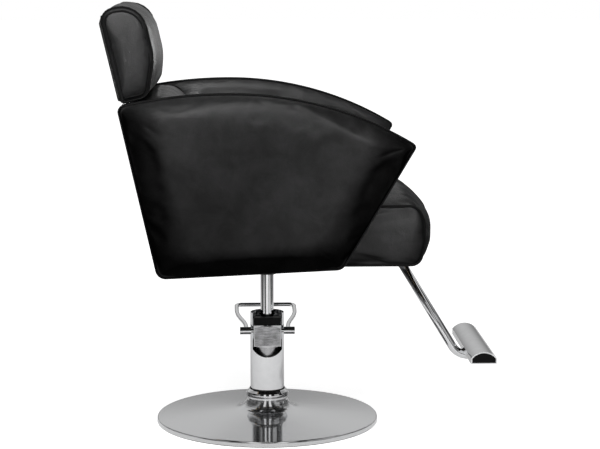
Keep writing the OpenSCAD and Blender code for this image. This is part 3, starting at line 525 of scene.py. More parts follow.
# The piping's near-black, dull hide is painted shade standing for the shadow gaps along the seams.
PIPING_PAINTED_SHADE = leather("leatherette_piping", (0.001, 0.001, 0.0011), (0.002, 0.002, 0.0021), 0.6, 0.05, 0.12)
THREAD = plain("thread", (0.02, 0.02, 0.021), 0.7, 900)
CHROME = metal("chrome", (0.83, 0.835, 0.845), 0.045, 0.02)
CHROME_DULL = scuffed_face()
STEEL = metal("steel", (0.55, 0.55, 0.56), 0.3, 0.06, (1, 1, 8))
SPUN = spun_chrome()
CAST = metal("cast_metal", (0.78, 0.78, 0.79), 0.42, 0.05)
ZINC = metal("zinc", (0.62, 0.62, 0.64), 0.27, 0.06)
BRASS = metal("brass", (0.72, 0.54, 0.27), 0.25, 0.05)
RUBBER = plain("rubber", (0.012, 0.012, 0.012), 0.75, 500, 0.3)
PLASTIC = plain("black_plastic", (0.004, 0.004, 0.0042), 0.42, 700, 0.1)
PAINT = plain("black_paint", (0.016, 0.016, 0.017), 0.36, 400)
PLYWOOD = plywood()
DUST_CLOTH = plain("dust_cloth", (0.014, 0.014, 0.014), 0.9, 1400, 0.2)

BY_SLOT = {"chrome": CHROME, "steel": STEEL, "fastener": ZINC, "brass": BRASS, "rubber": RUBBER,
           "black_plastic": PLASTIC, "black_steel": PAINT, "plywood": PLYWOOD, "leatherette": LEATHER,
           "cushion_cover": LEATHER}
BY_NODE = {"head_face_plate": CHROME_DULL, "base_disc": SPUN, "pump_head": CAST, "gland_ring": CAST}

for entry in frame["record"]["subparts"]:
    node = nodes[entry["node"]]
    mat = BY_NODE.get(entry["node"], BY_SLOT[entry["material_slot"]])
    if not node.data.materials:
        node.data.materials.append(mat)
    for holder in node.material_slots:
        holder.material = mat


def piece(obj, body, mat, replaces=()):
    """Hands one modelled piece to the frame."""
    obj.data.materials.clear()
    obj.data.materials.append(mat)
    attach(obj, body)
    if replaces:
        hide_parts(*replaces)
    return obj


def piping(name, path, radius):
    """A closed welt of hide along a seam of the seat body."""
    # Its near-black hide is painted shade for the shadow gaps along the seam.
    piece(tube(name, path, radius, 10, True), "seat", PIPING_PAINTED_SHADE)


# Padded forms

SIM_FRAMES = 16
soft = []            # rows of object, cap in mm, pressure and shrink, waiting for the one simulation
face_rings = {}      # for each soft object, rows of first vertex, count, share and lowest share
ends_to_close = []


def pinned(obj, weights):
    group = obj.vertex_groups.new(name="pin")
    for i, w in enumerate(weights):
        if w > 0:
            group.add([i], w, "REPLACE")


def even_out(obj, flat):
    """Towards the middle of a flat face the puff fades to its ring's mean, so no folds meet there."""
    fade_span = 0.5
    verts = obj.data.vertices
    for first, count, share, lowest in face_rings[obj.name]:
        keep = smoothstep((share - lowest) / fade_span)
        if keep >= 1:
            continue
        ring = range(first, first + count)
        mean = sum((verts[k].co - flat[k] for k in ring), Vector()) / count
        for k in ring:
            verts[k].co = flat[k] + mean.lerp(verts[k].co - flat[k], keep)


def add_cloth(obj, pressure, shrink, frames):
    mod = obj.modifiers.new("puff", "CLOTH")
    cs = mod.settings
    cs.quality = 4
    cs.mass = 0.35
    cs.tension_stiffness = 18
    cs.compression_stiffness = 12
    cs.shear_stiffness = 6
    cs.bending_stiffness = 0.9
    cs.use_pressure = True
    cs.uniform_pressure_force = pressure
    cs.vertex_group_mass = "pin"
    cs.pin_stiffness = 1.0
    cs.shrink_min = shrink
    cs.effector_weights.gravity = 0
    mod.collision_settings.use_collision = False
    mod.point_cache.frame_start = 1
    mod.point_cache.frame_end = frames


def capped(d, limit):
    """A way that levels off towards the limit; a way that isn't a number counts as none."""
    if not all(math.isfinite(c) for c in d):
        return Vector((0, 0, 0))
    length = d.length
    return d * (limit * math.tanh(length / limit) / length) if length > 1e-9 else d


def simulate(items, frames):
    """Puffs every soft form at once: cloth under air pressure, seams pinned, then capped and kept."""
    if not items:
        return
    rest = {}
    for obj, _, pressure, shrink in items:
        rest[obj.name] = [v.co.copy() for v in obj.data.vertices]
        add_cloth(obj, pressure, shrink, frames)
    scene.frame_start = 1
    scene.frame_end = frames
    for f in range(1, frames + 1):
        scene.frame_set(f)
    deps = bpy.context.evaluated_depsgraph_get()
    moved = {row[0].name: [v.co.copy() for v in row[0].evaluated_get(deps).data.vertices] for row in items}
    for obj, cap, _, _ in items:
        obj.modifiers.clear()
        for v, a, b in zip(obj.data.vertices, rest[obj.name], moved[obj.name]):
            v.co = a + capped(b - a, cap * MM)
        even_out(obj, rest[obj.name])
    scene.frame_set(1)


DOME_SHARES = (0.8, 0.6, 0.42, 0.27, 0.15, 0.07, 0.025, 0.006)


def close_middle(obj, count, at_start, shares, reverse):
    """Carries the rings at one end on to their middle, as a low dome, in place of the flat cap."""
    mesh = obj.data
    verts = [v.co.copy() for v in mesh.vertices]
    held = len(verts)
    weights = [sum(g.weight for g in v.groups) for v in mesh.vertices]
    faces = [tuple(f.vertices) for f in mesh.polygons]
    if at_start:
        ring, beyond = range(0, count), range(count, 2 * count)
        faces = [f for f in faces if len(f) == 4 or max(f) >= count]
    else:
        ring, beyond = range(held - count, held), range(held - 2 * count, held - count)
        faces = [f for f in faces if len(f) == 4 or min(f) < held - count]
    edge = [verts[k] for k in ring]
    mean = sum(edge, Vector()) / count
    mean_beyond = sum((verts[k] for k in beyond), Vector()) / count
    s1, s2 = shares
    rise = (mean - mean_beyond) / (s2 * s2 - s1 * s1) * (s1 * s1)
    first = list(ring)
    for t in DOME_SHARES:
        base = len(verts)
        verts += [mean + (q - mean) * t + rise * (1 - t * t) for q in edge]
        for k in range(count):
            a, b = first[k], first[(k + 1) % count]
            c, d = base + (k + 1) % count, base + k
            faces.append((a, d, c, b) if reverse else (a, b, c, d))
        first = list(range(base, base + count))
    faces += cap_faces([verts[k] for k in first], first[0], not reverse)
    new = bpy.data.meshes.new(mesh.name + "_whole")
    new.from_pydata(verts, [], faces)
    for poly in new.polygons:
        poly.use_smooth = True
    for mat in mesh.materials:
        new.materials.append(mat)
    obj.data = new
    obj.vertex_groups.clear()
    pinned(obj, weights + [0.0] * (len(verts) - held))


END_SHARES = [0.45, 0.6, 0.75, 0.86, 0.94, 0.98]


def cushion(name, side_c, side_r, mid_c, mid_r, half_w, bulge, centre, step, place, pin_side):
    """A boxed cushion across Y. Its side seam is the side outline; its middle swells to the mid outline."""
    edges = edge_counts(side_c, step)
    side = rounded(side_c, side_r, 6, edges)
    mid = rounded(mid_c, mid_r, 6, edges)
    n = len(side)
    c = Vector(centre)

    def end_ring(s, way):
        k = math.sqrt(max(0.0, 1 - s ** 3))
        return [Vector((q.x, way * (half_w + k * bulge(q)), q.y)) for q in (c + (p - c) * s for p in side)]

    across = max(8, int(2 * half_w / step))
    rings = [end_ring(s, -1) for s in END_SHARES]
    on_seam = [0.0] * len(END_SHARES)
    for i in range(across + 1):
        t = -1 + 2 * i / across
        w = 1 - abs(t) ** 2.4
        rings.append([Vector((p.x, half_w * t, p.y)) for p in (a.lerp(b, w) for a, b in zip(side, mid))])
        on_seam.append(1.0 if abs(abs(t) - 1) < 1e-6 else 0.0)
    rings += [end_ring(s, 1) for s in reversed(END_SHARES)]
    on_seam += [0.0] * len(END_SHARES)
    verts, faces = loft(rings, True, True)
    obj = mesh_object(name, [place(v) for v in verts], reversed_faces(faces))
    pinned(obj, [max(kind, pin_side(v)) for r, kind in zip(rings, on_seam) for v in r])
    last = len(rings) - 1
    face_rings[obj.name] = [(k * n, n, s, END_SHARES[0]) for k, s in enumerate(END_SHARES)]
    face_rings[obj.name] += [((last - k) * n, n, s, END_SHARES[0]) for k, s in enumerate(END_SHARES)]
    for at_start in (True, False):
        ends_to_close.append((obj, n, at_start, (END_SHARES[0], END_SHARES[1]), not at_start))
    return obj, side


def seam_loop(outline, y, place, offset=0.0):
    """The path of a seam: the side outline at a given Y, moved outward by offset."""
    n = len(outline)
    path = []
    for i, p in enumerate(outline):
        d = (outline[(i + 1) % n] - outline[i - 1]).normalized()
        q = p + Vector((d.y, -d.x)) * offset
        path.append(place(Vector((q.x, y, q.y))))
    return path


def stitches(name, path, length, gap, radius):
    """A row of short raised threads along a closed path."""
    sides = 5
    pts = [Vector(p) for p in path] + [Vector(path[0])]
    sums = [0.0]
    for a, b in zip(pts, pts[1:]):
        sums.append(sums[-1] + (b - a).length)

    def at(s):
        i = min(bisect.bisect_right(sums, s) - 1, len(pts) - 2)
        return pts[i].lerp(pts[i + 1], (s - sums[i]) / max(1e-9, sums[i + 1] - sums[i]))

    verts, faces = [], []
    start = gap
    while start + length < sums[-1]:
        a, b = at(start), at(start + length)
        start += length + gap
        d = (b - a).normalized()
        side = d.orthogonal().normalized()
        up = d.cross(side)
        base = len(verts)
        verts.append(a)
        for f, k in ((0.15, 0.75), (0.5, 1.0), (0.85, 0.75)):
            for j in range(sides):
                angle = 2 * math.pi * j / sides
                verts.append(a.lerp(b, f) + (side * math.cos(angle) + up * math.sin(angle)) * radius * k)
        verts.append(b)
        end = base + 1 + 3 * sides
        for j in range(sides):
            k = (j + 1) % sides
            faces.append((base, base + 1 + k, base + 1 + j))
            for ring in (0, 1):
                a0 = base + 1 + ring * sides
                faces.append((a0 + j, a0 + k, a0 + k + sides, a0 + j + sides))
            faces.append((end, end - sides + j, end - sides + k))
    return mesh_object(name, verts, faces)


# Seat: boxed cushion with a waterfall front

SEAT_SIDE = [(-218, 393), (319, 393), (331, 438), (329, 484), (316, 519), (120, 517), (-218, 503)]
SEAT_SIDE_R = [3, 22, 60, 50, 30, 200, 10]
SEAT_MID = [(-218, 393), (350, 393), (361, 442), (359, 480), (302, 543), (110, 549), (-218, 521)]
SEAT_MID_R = [3, 22, 60, 40, 46, 260, 12]
SEAT_CENTRE = (60, 455)
HIDDEN_BULGE = 3.0
SHOWN_BULGE = 9.0
BULGE_FOOT_X = 215
BULGE_RUN = 55


def seat_bulge(q):
    """The side is full where it stands out in front of the arms."""
    ahead = q.x - BULGE_FOOT_X - (q.y - LOW_FRONT_Z) * math.tan(FRONT_LEAN)
    return HIDDEN_BULGE + SHOWN_BULGE * smoothstep(ahead / BULGE_RUN)


def seat_pin(v):
    """Held where the cover is stapled to the board and behind."""
    return 1.0 if v.z < 400 or v.x < -214 else 0.0


seat, seat_outline = cushion("seat_cushion_cover", SEAT_SIDE, SEAT_SIDE_R, SEAT_MID, SEAT_MID_R,
                             SEAT_HALF, seat_bulge, SEAT_CENTRE, 9.0, same, seat_pin)
# The seat's hide has painted shade on faces turned to the front or back and underneath.
piece(seat, "seat", SEAT_HIDE, ["seat_cushion"])
soft.append((seat, 7.0, 2.2, -0.012))


# Back cushion, in the leaning frame

LUMBAR_SIDE = [(18.3, 143), (118, 121), (120, 330), (70, 333), (18.3, 335)]
LUMBAR_SIDE_R = [8, 25, 26, 12, 4]
LUMBAR_MID = [(18.3, 143), (131, 119), (122, 347), (68, 349), (18.3, 335)]
LUMBAR_MID_R = [8, 34, 32, 14, 4]
LUMBAR_CENTRE = (70, 245)


def lumbar_bulge(q):
    return 4.0


def lumbar_pin(v):
    """Held on the board and along the rear of its top."""
    return 1.0 if v.x < 24 or (v.z > 330 and v.x < 84) else 0.0


lumbar, lumbar_outline = cushion("lumbar_cushion_cover", LUMBAR_SIDE, LUMBAR_SIDE_R, LUMBAR_MID,
                                 LUMBAR_MID_R, BACK_HALF, lumbar_bulge, LUMBAR_CENTRE, 9.0, leaned,
                                 lumbar_pin)
piece(lumbar, "seat", LEATHER, ["lumbar_cushion"])
soft.append((lumbar, 6.0, 2.2, -0.012))


# Headrest, in the leaning frame

HEAD_SIDE = [(7.5, 346), (64, 346), (95, 424), (95, 541), (7.5, 541)]
HEAD_SIDE_R = [6, 24, 110, 52, 26]
HEAD_MID = [(7.5, 345), (78, 345), (103, 420), (103, 547), (7.5, 547)]
HEAD_MID_R = [6, 28, 120, 62, 28]
HEAD_CENTRE = (50, 448)


def head_bulge(q):
    return 11.0


def head_pin(v):
    """Held on the board."""
    return 1.0 if v.x < 10 else 0.0


head, head_outline = cushion("headrest_cover", HEAD_SIDE, HEAD_SIDE_R, HEAD_MID, HEAD_MID_R,
                             HEAD_HALF, head_bulge, HEAD_CENTRE, 8.0, leaned, head_pin)
piece(head, "seat", LEATHER, ["headrest_cushion"])
soft.append((head, 5.0, 2.4, -0.012))


# Arms: padded outer panel, thinner inner panel, and the band between their seams

OUTER_WIDTHS = (62.0, 96.0, 40.0, 92.0)
INNER_WIDTHS = (24.0, 40.0, 22.0, 40.0)
FIRST_RISE = 0.08
INNER_CLEARANCE = 1.0
LOWEST_SHARE = 0.12
PANEL_SHARES = [1.0, 0.992, 0.984, 0.974, 0.962, 0.948, 0.932, 0.914, 0.894, 0.872, 0.848, 0.822, 0.794,
                0.764, 0.732, 0.7, 0.665, 0.63, 0.594, 0.557, 0.52, 0.48, 0.44, 0.4, 0.35, 0.3, 0.24, 0.17,
                0.1]
BAND_STEPS = 8
BAND_CROWN = 1.6
BAND_SUNK = 0.4
STITCH_INSET = 3.6
STITCH_OUT = 0.95
ARM_PIPE_OUT = 0.6
ARM_PIPE_R = 2.1


def arm_panel(name, seam_y, face_y, widths, side):
    """One face of an arm as rings that shrink from the seam to the middle."""

    def panel_point(p, s):
        q = ARM_MID + (p - ARM_MID) * s
        risen = FIRST_RISE + (1 - FIRST_RISE) * arm_height(q, widths) if s < 1 else 0.0
        return Vector((q.x, (seam_y + (face_y - seam_y) * risen) * side, q.y))

    verts, faces = loft([[panel_point(p, s) for p in ARM] for s in PANEL_SHARES], False, True)
    n = len(ARM)
    flip = (face_y > seam_y) == (side > 0)
    obj = mesh_object(name, verts, reversed_faces(faces) if flip else faces)
    pinned(obj, [1.0] * n + [0.8] * n + [0.0] * (len(verts) - 2 * n))
    face_rings[obj.name] = [(k * n, n, s, LOWEST_SHARE) for k, s in enumerate(PANEL_SHARES)]
    ends_to_close.append((obj, n, False, (PANEL_SHARES[-1], PANEL_SHARES[-2]), flip))
    return obj


def arm_band(tag, side):
    """The band round an arm's edge: a shallow crown between the two seams."""
    rings = []
    for k in range(BAND_STEPS + 1):
        t = -1 + 2 * k / BAND_STEPS
        y = (ARM_BOARD + ARM_SKIN) / 2 + (ARM_SKIN - ARM_BOARD) / 2 * t
        rings.append(seam_loop(ARM, y * side, same, BAND_CROWN * (1 - t * t) - BAND_SUNK))
    verts, faces = loft(rings, False, False)
    return mesh_object("arm_band_cover_" + tag, verts, faces if side < 0 else reversed_faces(faces))


SIDES = ((-1, "right"), (1, "left"))
ARM_SEAMS = (("outer", ARM_SKIN, 1), ("inner", ARM_BOARD, -1))

for side, tag in SIDES:
    outer = arm_panel("arm_outer_cover_" + tag, ARM_SKIN, ARM_OUT, OUTER_WIDTHS, side)
    # The outer covers' hide has painted shade at their front and rear edges and underneath.
    piece(outer, "seat", LEATHER_PAINTED_SHADE, ["arm_outer_pad_" + tag])
    soft.append((outer, 2.0, 0.5, -0.004))
    inner = arm_panel("arm_inner_cover_" + tag, ARM_BOARD, ARM_IN + INNER_CLEARANCE, INNER_WIDTHS, side)
    piece(inner, "seat", LEATHER, ["arm_inner_pad_" + tag])
    soft.append((inner, 1.6, 0.5, -0.014))
    piece(arm_band(tag, side), "seat", LEATHER, ["arm_edge_band_" + tag])
    for seam, seam_y, out in ARM_SEAMS:
        row = seam_loop(ARM, (seam_y - out * STITCH_INSET) * side, same, STITCH_OUT)
        piece(stitches("arm_stitches_%s_%s" % (seam, tag), row, 4.0, 3.0, 0.4), "seat", THREAD)
    for seam, seam_y, out in ARM_SEAMS:
        welt = seam_loop(ARM, (seam_y + out * ARM_PIPE_OUT) * side, same, ARM_PIPE_OUT)
        piping("arm_piping_%s_%s" % (seam, tag), welt, ARM_PIPE_R)

simulate(soft, SIM_FRAMES)
for row in ends_to_close:
    close_middle(*row)


def unevenness(obj, amp):
    """Gentle unevenness of the stuffing and the hide, the same on every run."""
    mesh = obj.data
    group = obj.vertex_groups["pin"].index
    normals = [v.normal.copy() for v in mesh.vertices]
    places = []
    for v, normal in zip(mesh.vertices, normals):
        free = 1.0 - sum(g.weight for g in v.groups if g.group == group)
        coarse = noise.noise(v.co * 14 + Vector((3.1, 1.7, 0.4)))
        fine = noise.noise(v.co * 42 + Vector((9.1, 4.7, 2.4)))
        places += list(v.co + normal * (amp * free * (coarse + 0.35 * fine)))
    mesh.vertices.foreach_set("co", places)
    mesh.update()


ARM_UNEVEN = 0.5 * MM
CUSHION_UNEVEN = 0.9 * MM
for row in soft:
    obj = row[0]
    unevenness(obj, ARM_UNEVEN if obj.name.startswith("arm_") else CUSHION_UNEVEN)
    smooth = obj.modifiers.new("smooth", "SUBSURF")
    smooth.levels = smooth.render_levels = 1


# Piping of the cushions

SEAM_OUT = 0.3
SEAT_PIPE_R = 2.9
LUMBAR_PIPE_R = 2.0
HEAD_PIPE_R = 2.5
HEAD_PIPES = (("a", 205.6, 0.0), ("b", 210.4, -8.0))

for side, tag in SIDES:
    piping("seat_piping_" + tag, seam_loop(seat_outline, SEAT_HALF * side, same, SEAM_OUT), SEAT_PIPE_R)
    welt = seam_loop(lumbar_outline, BACK_HALF * side, leaned, SEAM_OUT)
    piping("lumbar_piping_" + tag, welt, LUMBAR_PIPE_R)
    for mark, y, inward in HEAD_PIPES:
        welt = seam_loop(head_outline, y * side, leaned, SEAM_OUT + inward)
        piping("headrest_piping_%s_%s" % (mark, tag), welt, HEAD_PIPE_R)


# Rear covers of back and headrest, in the leaning frame

BACK_COVER_HALF = 243.0
BACK_COVER_DEPTH = 4.0
BACK_COVER_HEIGHTS = (-7.0, 334.0)
STRIP_STEPS = 40
STRIP = ((0.1, 327), (0.1, 335.4), (0.6, 336), (18, 336), (18.5, 335.4),
         (18.5, 332), (17.6, 332), (17.6, 335.1), (1, 335.1), (1, 327))
HEAD_COVER_HALF = 203.0
HEAD_COVER_DEPTH = 7.2
HEAD_COVER_HEIGHTS = (349.0, 532.0)
TAPER_FROM = 515
TAPER_RUN = 17


def slab(name, depth, half_w, v0, v1, place, edge_r=3.0):
    """A flat cover board with softly rounded edges, its back just clear of the leaning frame's plane."""
    start = 0.2
    pts = rounded([(-half_w, v0), (half_w, v0), (half_w, v1), (-half_w, v1)], [edge_r * 3] * 4, 6,
                  [20, 30, 20, 30])
    n = len(pts)
    thick = depth - start
    profile = [(0.0, thick)] + [(edge_r * (1 - math.cos(a)), edge_r * (1 - math.sin(a)))
                                for a in (0.0, 0.4, 0.8, 1.2, math.pi / 2)]
    rings = []
    for inset, x in profile:
        ring = []
        for i, p in enumerate(pts):
            d = (pts[(i + 1) % n] - pts[i - 1]).normalized()
            q = p + Vector((-d.y, d.x)) * inset
            ring.append(place(Vector((start + x, q.x, q.y))))
        rings.append(ring)
    verts, faces = loft(rings, False, True)
    return mesh_object(name, verts, faces)


def head_taper(v):
    """Thins the rear cover away where the cushion's top turns over."""
    left = 1 - smoothstep((v.z - TAPER_FROM) / TAPER_RUN)
    return leaned(Vector((HEAD_COVER_DEPTH - (HEAD_COVER_DEPTH - v.x) * left, v.y, v.z)))


def top_strip():
    """A strip of hide folded over the top of the back board."""
    across = [-BACK_COVER_HALF + 2 * BACK_COVER_HALF * k / STRIP_STEPS for k in range(STRIP_STEPS + 1)]
    verts, faces = loft([[leaned(Vector((u, y, v))) for u, v in STRIP] for y in across], True, True)
    return mesh_object("back_top_strip", verts, reversed_faces(faces), False)


back_cover = slab("back_cover", BACK_COVER_DEPTH, BACK_COVER_HALF, *BACK_COVER_HEIGHTS, leaned)
piece(back_cover, "seat", LEATHER, ["back_panel"])
piece(top_strip(), "seat", LEATHER)
head_cover = slab("headrest_back_cover", HEAD_COVER_DEPTH, HEAD_COVER_HALF, *HEAD_COVER_HEIGHTS, head_taper)
piece(head_cover, "seat", LEATHER, ["headrest_panel"])


# Black cloth stapled under the seat board, with its hem

CLOTH_HALF = 222.0
CLOTH_X0 = -212.0
CLOTH_X1 = 294.0
CLOTH_Z = 391.6
CLOTH_SAG = 0.5
SAG_RUN = 40
HEM_R = 1.2
STAPLE_INSET_SHARE = 0.985


def dust_cloth():
    """The sheet: 506 mm by 444 mm flat, sagging a little between its stapled edges."""
    nx, ny = 46, 40
    verts, faces = [], []
    for i in range(nx + 1):
        for j in range(ny + 1):
            x = CLOTH_X0 + (CLOTH_X1 - CLOTH_X0) * i / nx
            y = -CLOTH_HALF + 2 * CLOTH_HALF * j / ny
            edge = min(x - CLOTH_X0, CLOTH_X1 - x, y + CLOTH_HALF, CLOTH_HALF - y)
            sag = CLOTH_SAG * min(1.0, edge / SAG_RUN) * (1 + noise.noise(Vector((x, y, 0)) * 0.02))
            verts.append((x, y, CLOTH_Z - sag))
    for i in range(nx):
        for j in range(ny):
            a = i * (ny + 1) + j
            faces.append((a, a + 1, a + ny + 2, a + ny + 1))
    return mesh_object("dust_cloth_sheet", verts, faces)


cloth_corners = [(CLOTH_X0, -CLOTH_HALF), (CLOTH_X1, -CLOTH_HALF),
                 (CLOTH_X1, CLOTH_HALF), (CLOTH_X0, CLOTH_HALF)]
cloth_edge = rounded(cloth_corners, [4] * 4, 4, [24, 22, 24, 22])
hem_path = [(p.x, p.y, CLOTH_Z - 0.4) for p in cloth_edge]
staple_path = [(p.x * STAPLE_INSET_SHARE + 0.6, p.y * STAPLE_INSET_SHARE, CLOTH_Z - 0.9) for p in cloth_edge]
piece(dust_cloth(), "seat", DUST_CLOTH)
piece(tube("dust_cloth_hem", hem_path, HEM_R, 8, True), "seat", DUST_CLOTH)
piece(stitches("dust_cloth_staples", staple_path, 9.0, 24.0, 0.5), "seat", ZINC)


# Smooth metal tubes in place of faceted ones

AXLE = Vector((0, -24, 210.5))
LEVER_TILT = math.radians(4.4)
LEVER_HALF_PATH = [(48, 4.5), (46, 46), (67.5, 140), (68, 224)]
LEVER_HALF_BENDS = [250, 300, 13]
LEVER_R = 5.0
FOOT_SLOPE = math.radians(58.6)
FOOT_BEND = Vector((433.5, 146.0))
FOOT_BEND_R = 42
FOOT_TOP_Z = 378
FOOT_END_X = 488
FOOT_R = 10.0

lever_path = LEVER_HALF_PATH + [(-x, z) for x, z in reversed(LEVER_HALF_PATH)]
lever_points = [AXLE + Vector((p.x, p.y * math.cos(LEVER_TILT), p.y * math.sin(LEVER_TILT)))
                for p in open_path(lever_path, LEVER_HALF_BENDS + LEVER_HALF_BENDS[::-1])]
piece(tube("lever_rod", lever_points, LEVER_R, 20), "lever", CHROME, ["lever_loop"])

foot_rise = (FOOT_TOP_Z - FOOT_BEND.y) / math.sin(FOOT_SLOPE)
foot_top = FOOT_BEND + Vector((-math.cos(FOOT_SLOPE), math.sin(FOOT_SLOPE))) * foot_rise
foot_path = open_path([foot_top, FOOT_BEND, (FOOT_END_X, FOOT_BEND.y)], [FOOT_BEND_R])
foot_points = [Vector((p.x, 0, p.y)) for p in foot_path]
piece(tube("footrest_pipe", foot_points, FOOT_R, 28), "seat", CHROME, ["footrest_tube"])


# Camera, as solved from the photograph

cam_data = bpy.data.cameras.new("camera")
cam = bpy.data.objects.new("camera", cam_data)
scene.collection.objects.link(cam)
cam.location = (-0.0928, -4.0, 1.0235)
cam.rotation_euler = (math.radians(81.812), 0.0, math.radians(-2.394))
cam_data.lens = 108.03
cam_data.sensor_width = 36.0
cam_data.sensor_fit = "HORIZONTAL"
cam_data.clip_end = 60.0
scene.camera = cam


# Floor: white for the camera, keeps the chair's shadow, darker far out to the sides for all other rays

FLOOR_HALF = 30


def floor_white():
    mat, tree, bsdf = new_material("floor_white")
    bsdf.inputs["Roughness"].default_value = 0.9
    bsdf.inputs["Specular IOR Level"].default_value = 0.0
    bsdf.inputs["Emission Color"].default_value = (1, 1, 1, 1)
    rays = tree.nodes.new("ShaderNodeLightPath")
    aside = remap(tree, math_node(tree, "ABSOLUTE", split_xyz(tree, coords(tree))["X"]), 1.1, 1.7, 0, 1)
    tree.links.new(mix_color(tree, aside, (0.9, 0.9, 0.9), (0.1, 0.1, 0.1)), bsdf.inputs["Base Color"])
    away = tree.nodes.new("ShaderNodeVectorMath")
    away.operation = "LENGTH"
    tree.links.new(coords(tree), away.inputs[0])
    own = math_node(tree, "MULTIPLY", rays.outputs["Is Camera Ray"],
                    remap(tree, away.outputs["Value"], 0.7, 2.4, 0.84, 1.02))
    mirrored = remap(tree, rays.outputs["Is Glossy Ray"], 0, 1, 0, 0.2)
    tree.links.new(math_node(tree, "ADD", own, mirrored), bsdf.inputs["Emission Strength"])
    return mat


floor = bpy.data.meshes.new("floor")
floor_corners = [(-FLOOR_HALF, -FLOOR_HALF, 0), (FLOOR_HALF, -FLOOR_HALF, 0),
                 (FLOOR_HALF, FLOOR_HALF, 0), (-FLOOR_HALF, FLOOR_HALF, 0)]
floor.from_pydata(floor_corners, [], [(0, 1, 2, 3)])
floor_obj = bpy.data.objects.new("floor", floor)
scene.collection.objects.link(floor_obj)
floor.materials.append(floor_white())


# Studio: white for the camera, even light for matt surfaces, and for mirrors a grey room with soft boxes

def studio_for_mirrors(tree, aim, side):
    """Brightness of the grey room: bright behind the chair, two upright soft boxes on each side in front."""
    _, dy, dz = aim
    behind = ramp(tree, dz, -0.02, 0.34, 0.3, 0.72)
    box_a = math_node(tree, "MULTIPLY", ramp(tree, side, 0.1, 0.16), ramp(tree, side, 0.34, 0.27))
    box_b = math_node(tree, "MULTIPLY", ramp(tree, side, 0.55, 0.62), ramp(tree, side, 0.86, 0.8))
    boxes = math_node(tree, "ADD", box_a, math_node(tree, "MULTIPLY", box_b, 0.55))
    front = math_node(tree, "ADD", boxes, 0.035)
    high = ramp(tree, dz, 0.06, 0.16)
    near_floor = math_node(tree, "MULTIPLY", math_node(tree, "SUBTRACT", 1.0, high), 0.55)
    front = math_node(tree, "ADD", math_node(tree, "MULTIPLY", front, high), near_floor)
    is_back = ramp(tree, dy, -0.1, 0.12)
    is_front = math_node(tree, "SUBTRACT", 1.0, is_back)
    return math_node(tree, "ADD", math_node(tree, "MULTIPLY", behind, is_back),
                     math_node(tree, "MULTIPLY", front, is_front))


def background(tree, strength):
    """A white background of a strength that is a socket or a number."""
    n = tree.nodes.new("ShaderNodeBackground")
    n.inputs["Color"].default_value = (1, 1, 1, 1)
    if isinstance(strength, float):
        n.inputs["Strength"].default_value = strength
    else:
        tree.links.new(strength, n.inputs["Strength"])
    return n.outputs["Background"]


world = bpy.data.worlds.new("studio")
scene.world = world
world.use_nodes = True
tree = world.node_tree
tree.nodes.clear()
world_out = tree.nodes.new("ShaderNodeOutputWorld")
rays = tree.nodes.new("ShaderNodeLightPath")
aim = split_xyz(tree, tree.nodes.new("ShaderNodeTexCoord").outputs["Generated"])
side = math_node(tree, "ABSOLUTE", aim[0])
dim_sides = ramp(tree, side, 0.5, 0.85, 1.0, 0.12)
glossy = tree.nodes.new("ShaderNodeBackground")
tree.links.new(math_node(tree, "MULTIPLY", studio_for_mirrors(tree, aim, side), dim_sides),
               glossy.inputs["Strength"])
even = background(tree, math_node(tree, "MULTIPLY", dim_sides, 0.22))
lights = mix_shader(tree, rays.outputs["Is Glossy Ray"], even, glossy.outputs["Background"])
seen = mix_shader(tree, rays.outputs["Is Camera Ray"], lights, background(tree, 1.0))
tree.links.new(seen, world_out.inputs["Surface"])


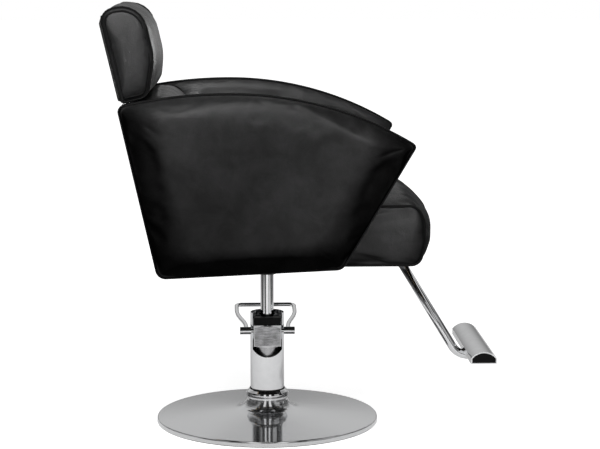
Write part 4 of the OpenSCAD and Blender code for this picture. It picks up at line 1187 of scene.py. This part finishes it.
def card(name, x, y, width, height, shade, low_z=0.0):
    """An upright board in the studio that only mirrors can see."""
    mesh = bpy.data.meshes.new(name)
    a = math.atan2(y, x) + math.pi / 2
    ux, uy = math.cos(a) * width / 2, math.sin(a) * width / 2
    mesh.from_pydata([(x - ux, y - uy, low_z), (x + ux, y + uy, low_z), (x + ux, y + uy, height),
                      (x - ux, y - uy, height)], [], [(0, 1, 2, 3)])
    obj = bpy.data.objects.new(name, mesh)
    scene.collection.objects.link(obj)
    mat = bpy.data.materials.new(name)
    mat.use_nodes = True
    tree = mat.node_tree
    tree.nodes.clear()
    out = tree.nodes.new("ShaderNodeOutputMaterial")
    glow = tree.nodes.new("ShaderNodeEmission")
    glow.inputs["Color"].default_value = (1, 1, 1, 1)
    glow.inputs["Strength"].default_value = shade
    tree.links.new(glow.outputs["Emission"], out.inputs["Surface"])
    mesh.materials.append(mat)
    obj.visible_camera = False
    obj.visible_diffuse = False
    obj.visible_shadow = False
    return obj


card("card_dark_a", -0.64, -1.02, 0.6, 0.6, 0.12)
card("card_dark_b", 0.62, -1.04, 0.28, 0.6, 0.18)
card("card_dark_c", -1.2, -0.04, 0.97, 0.6, 0.1)
card("card_dark_d", 1.2, -0.06, 1.2, 0.6, 0.1)
card("card_foot", 1.0, -0.7, 0.7, 0.95, 0.4, 0.25)


# Lamps: the key light and the spots leave the bright metal alone, which shows the studio

BRIGHT_METALS = (CHROME, SPUN, CAST, CHROME_DULL, ZINC)
lit = bpy.data.collections.new("lit_by_key")
for obj in scene.objects:
    if obj.type == "MESH" and not any(m in BRIGHT_METALS for m in obj.data.materials):
        lit.objects.link(obj)


def lamp(data, loc, target, power):
    """Hangs a lamp at a place and turns it to its target."""
    data.energy = power
    obj = bpy.data.objects.new(data.name, data)
    scene.collection.objects.link(obj)
    obj.location = loc
    obj.rotation_euler = (Vector(target) - Vector(loc)).to_track_quat("-Z", "Y").to_euler()
    return obj


def area(name, loc, target, power, size, size_y=None):
    data = bpy.data.lights.new(name, "AREA")
    data.size = size
    if size_y:
        data.shape = "RECTANGLE"
        data.size_y = size_y
    return lamp(data, loc, target, power)


def spot(name, loc, target, power, cone, size):
    data = bpy.data.lights.new(name, "SPOT")
    data.shadow_soft_size = size
    data.spot_size = math.radians(cone)
    data.spot_blend = 0.8
    lamp(data, loc, target, power).light_linking.receiver_collection = lit


key = area("key_light", (-0.2, -3.0, 3.4), (0, 0, 0.6), 105, 2.6, 1.2)
key.light_linking.receiver_collection = lit
spot("rim_light", (1.2, 1.1, 1.2), (-0.2, 0.0, 0.88), 210, 28, 0.5)
spot("headrest_light", (-0.7, -3.2, 1.65), (-0.29, -0.2, 0.9), 900, 8, 0.3)
spot("gusset_light", (0.7, -3.2, 1.35), (0.3, -0.24, 0.51), 800, 6, 0.3)
area("top_light", (0.1, -0.2, 3.4), (0, 0, 0.5), 5, 1.8)

scene.view_settings.view_transform = "Standard"
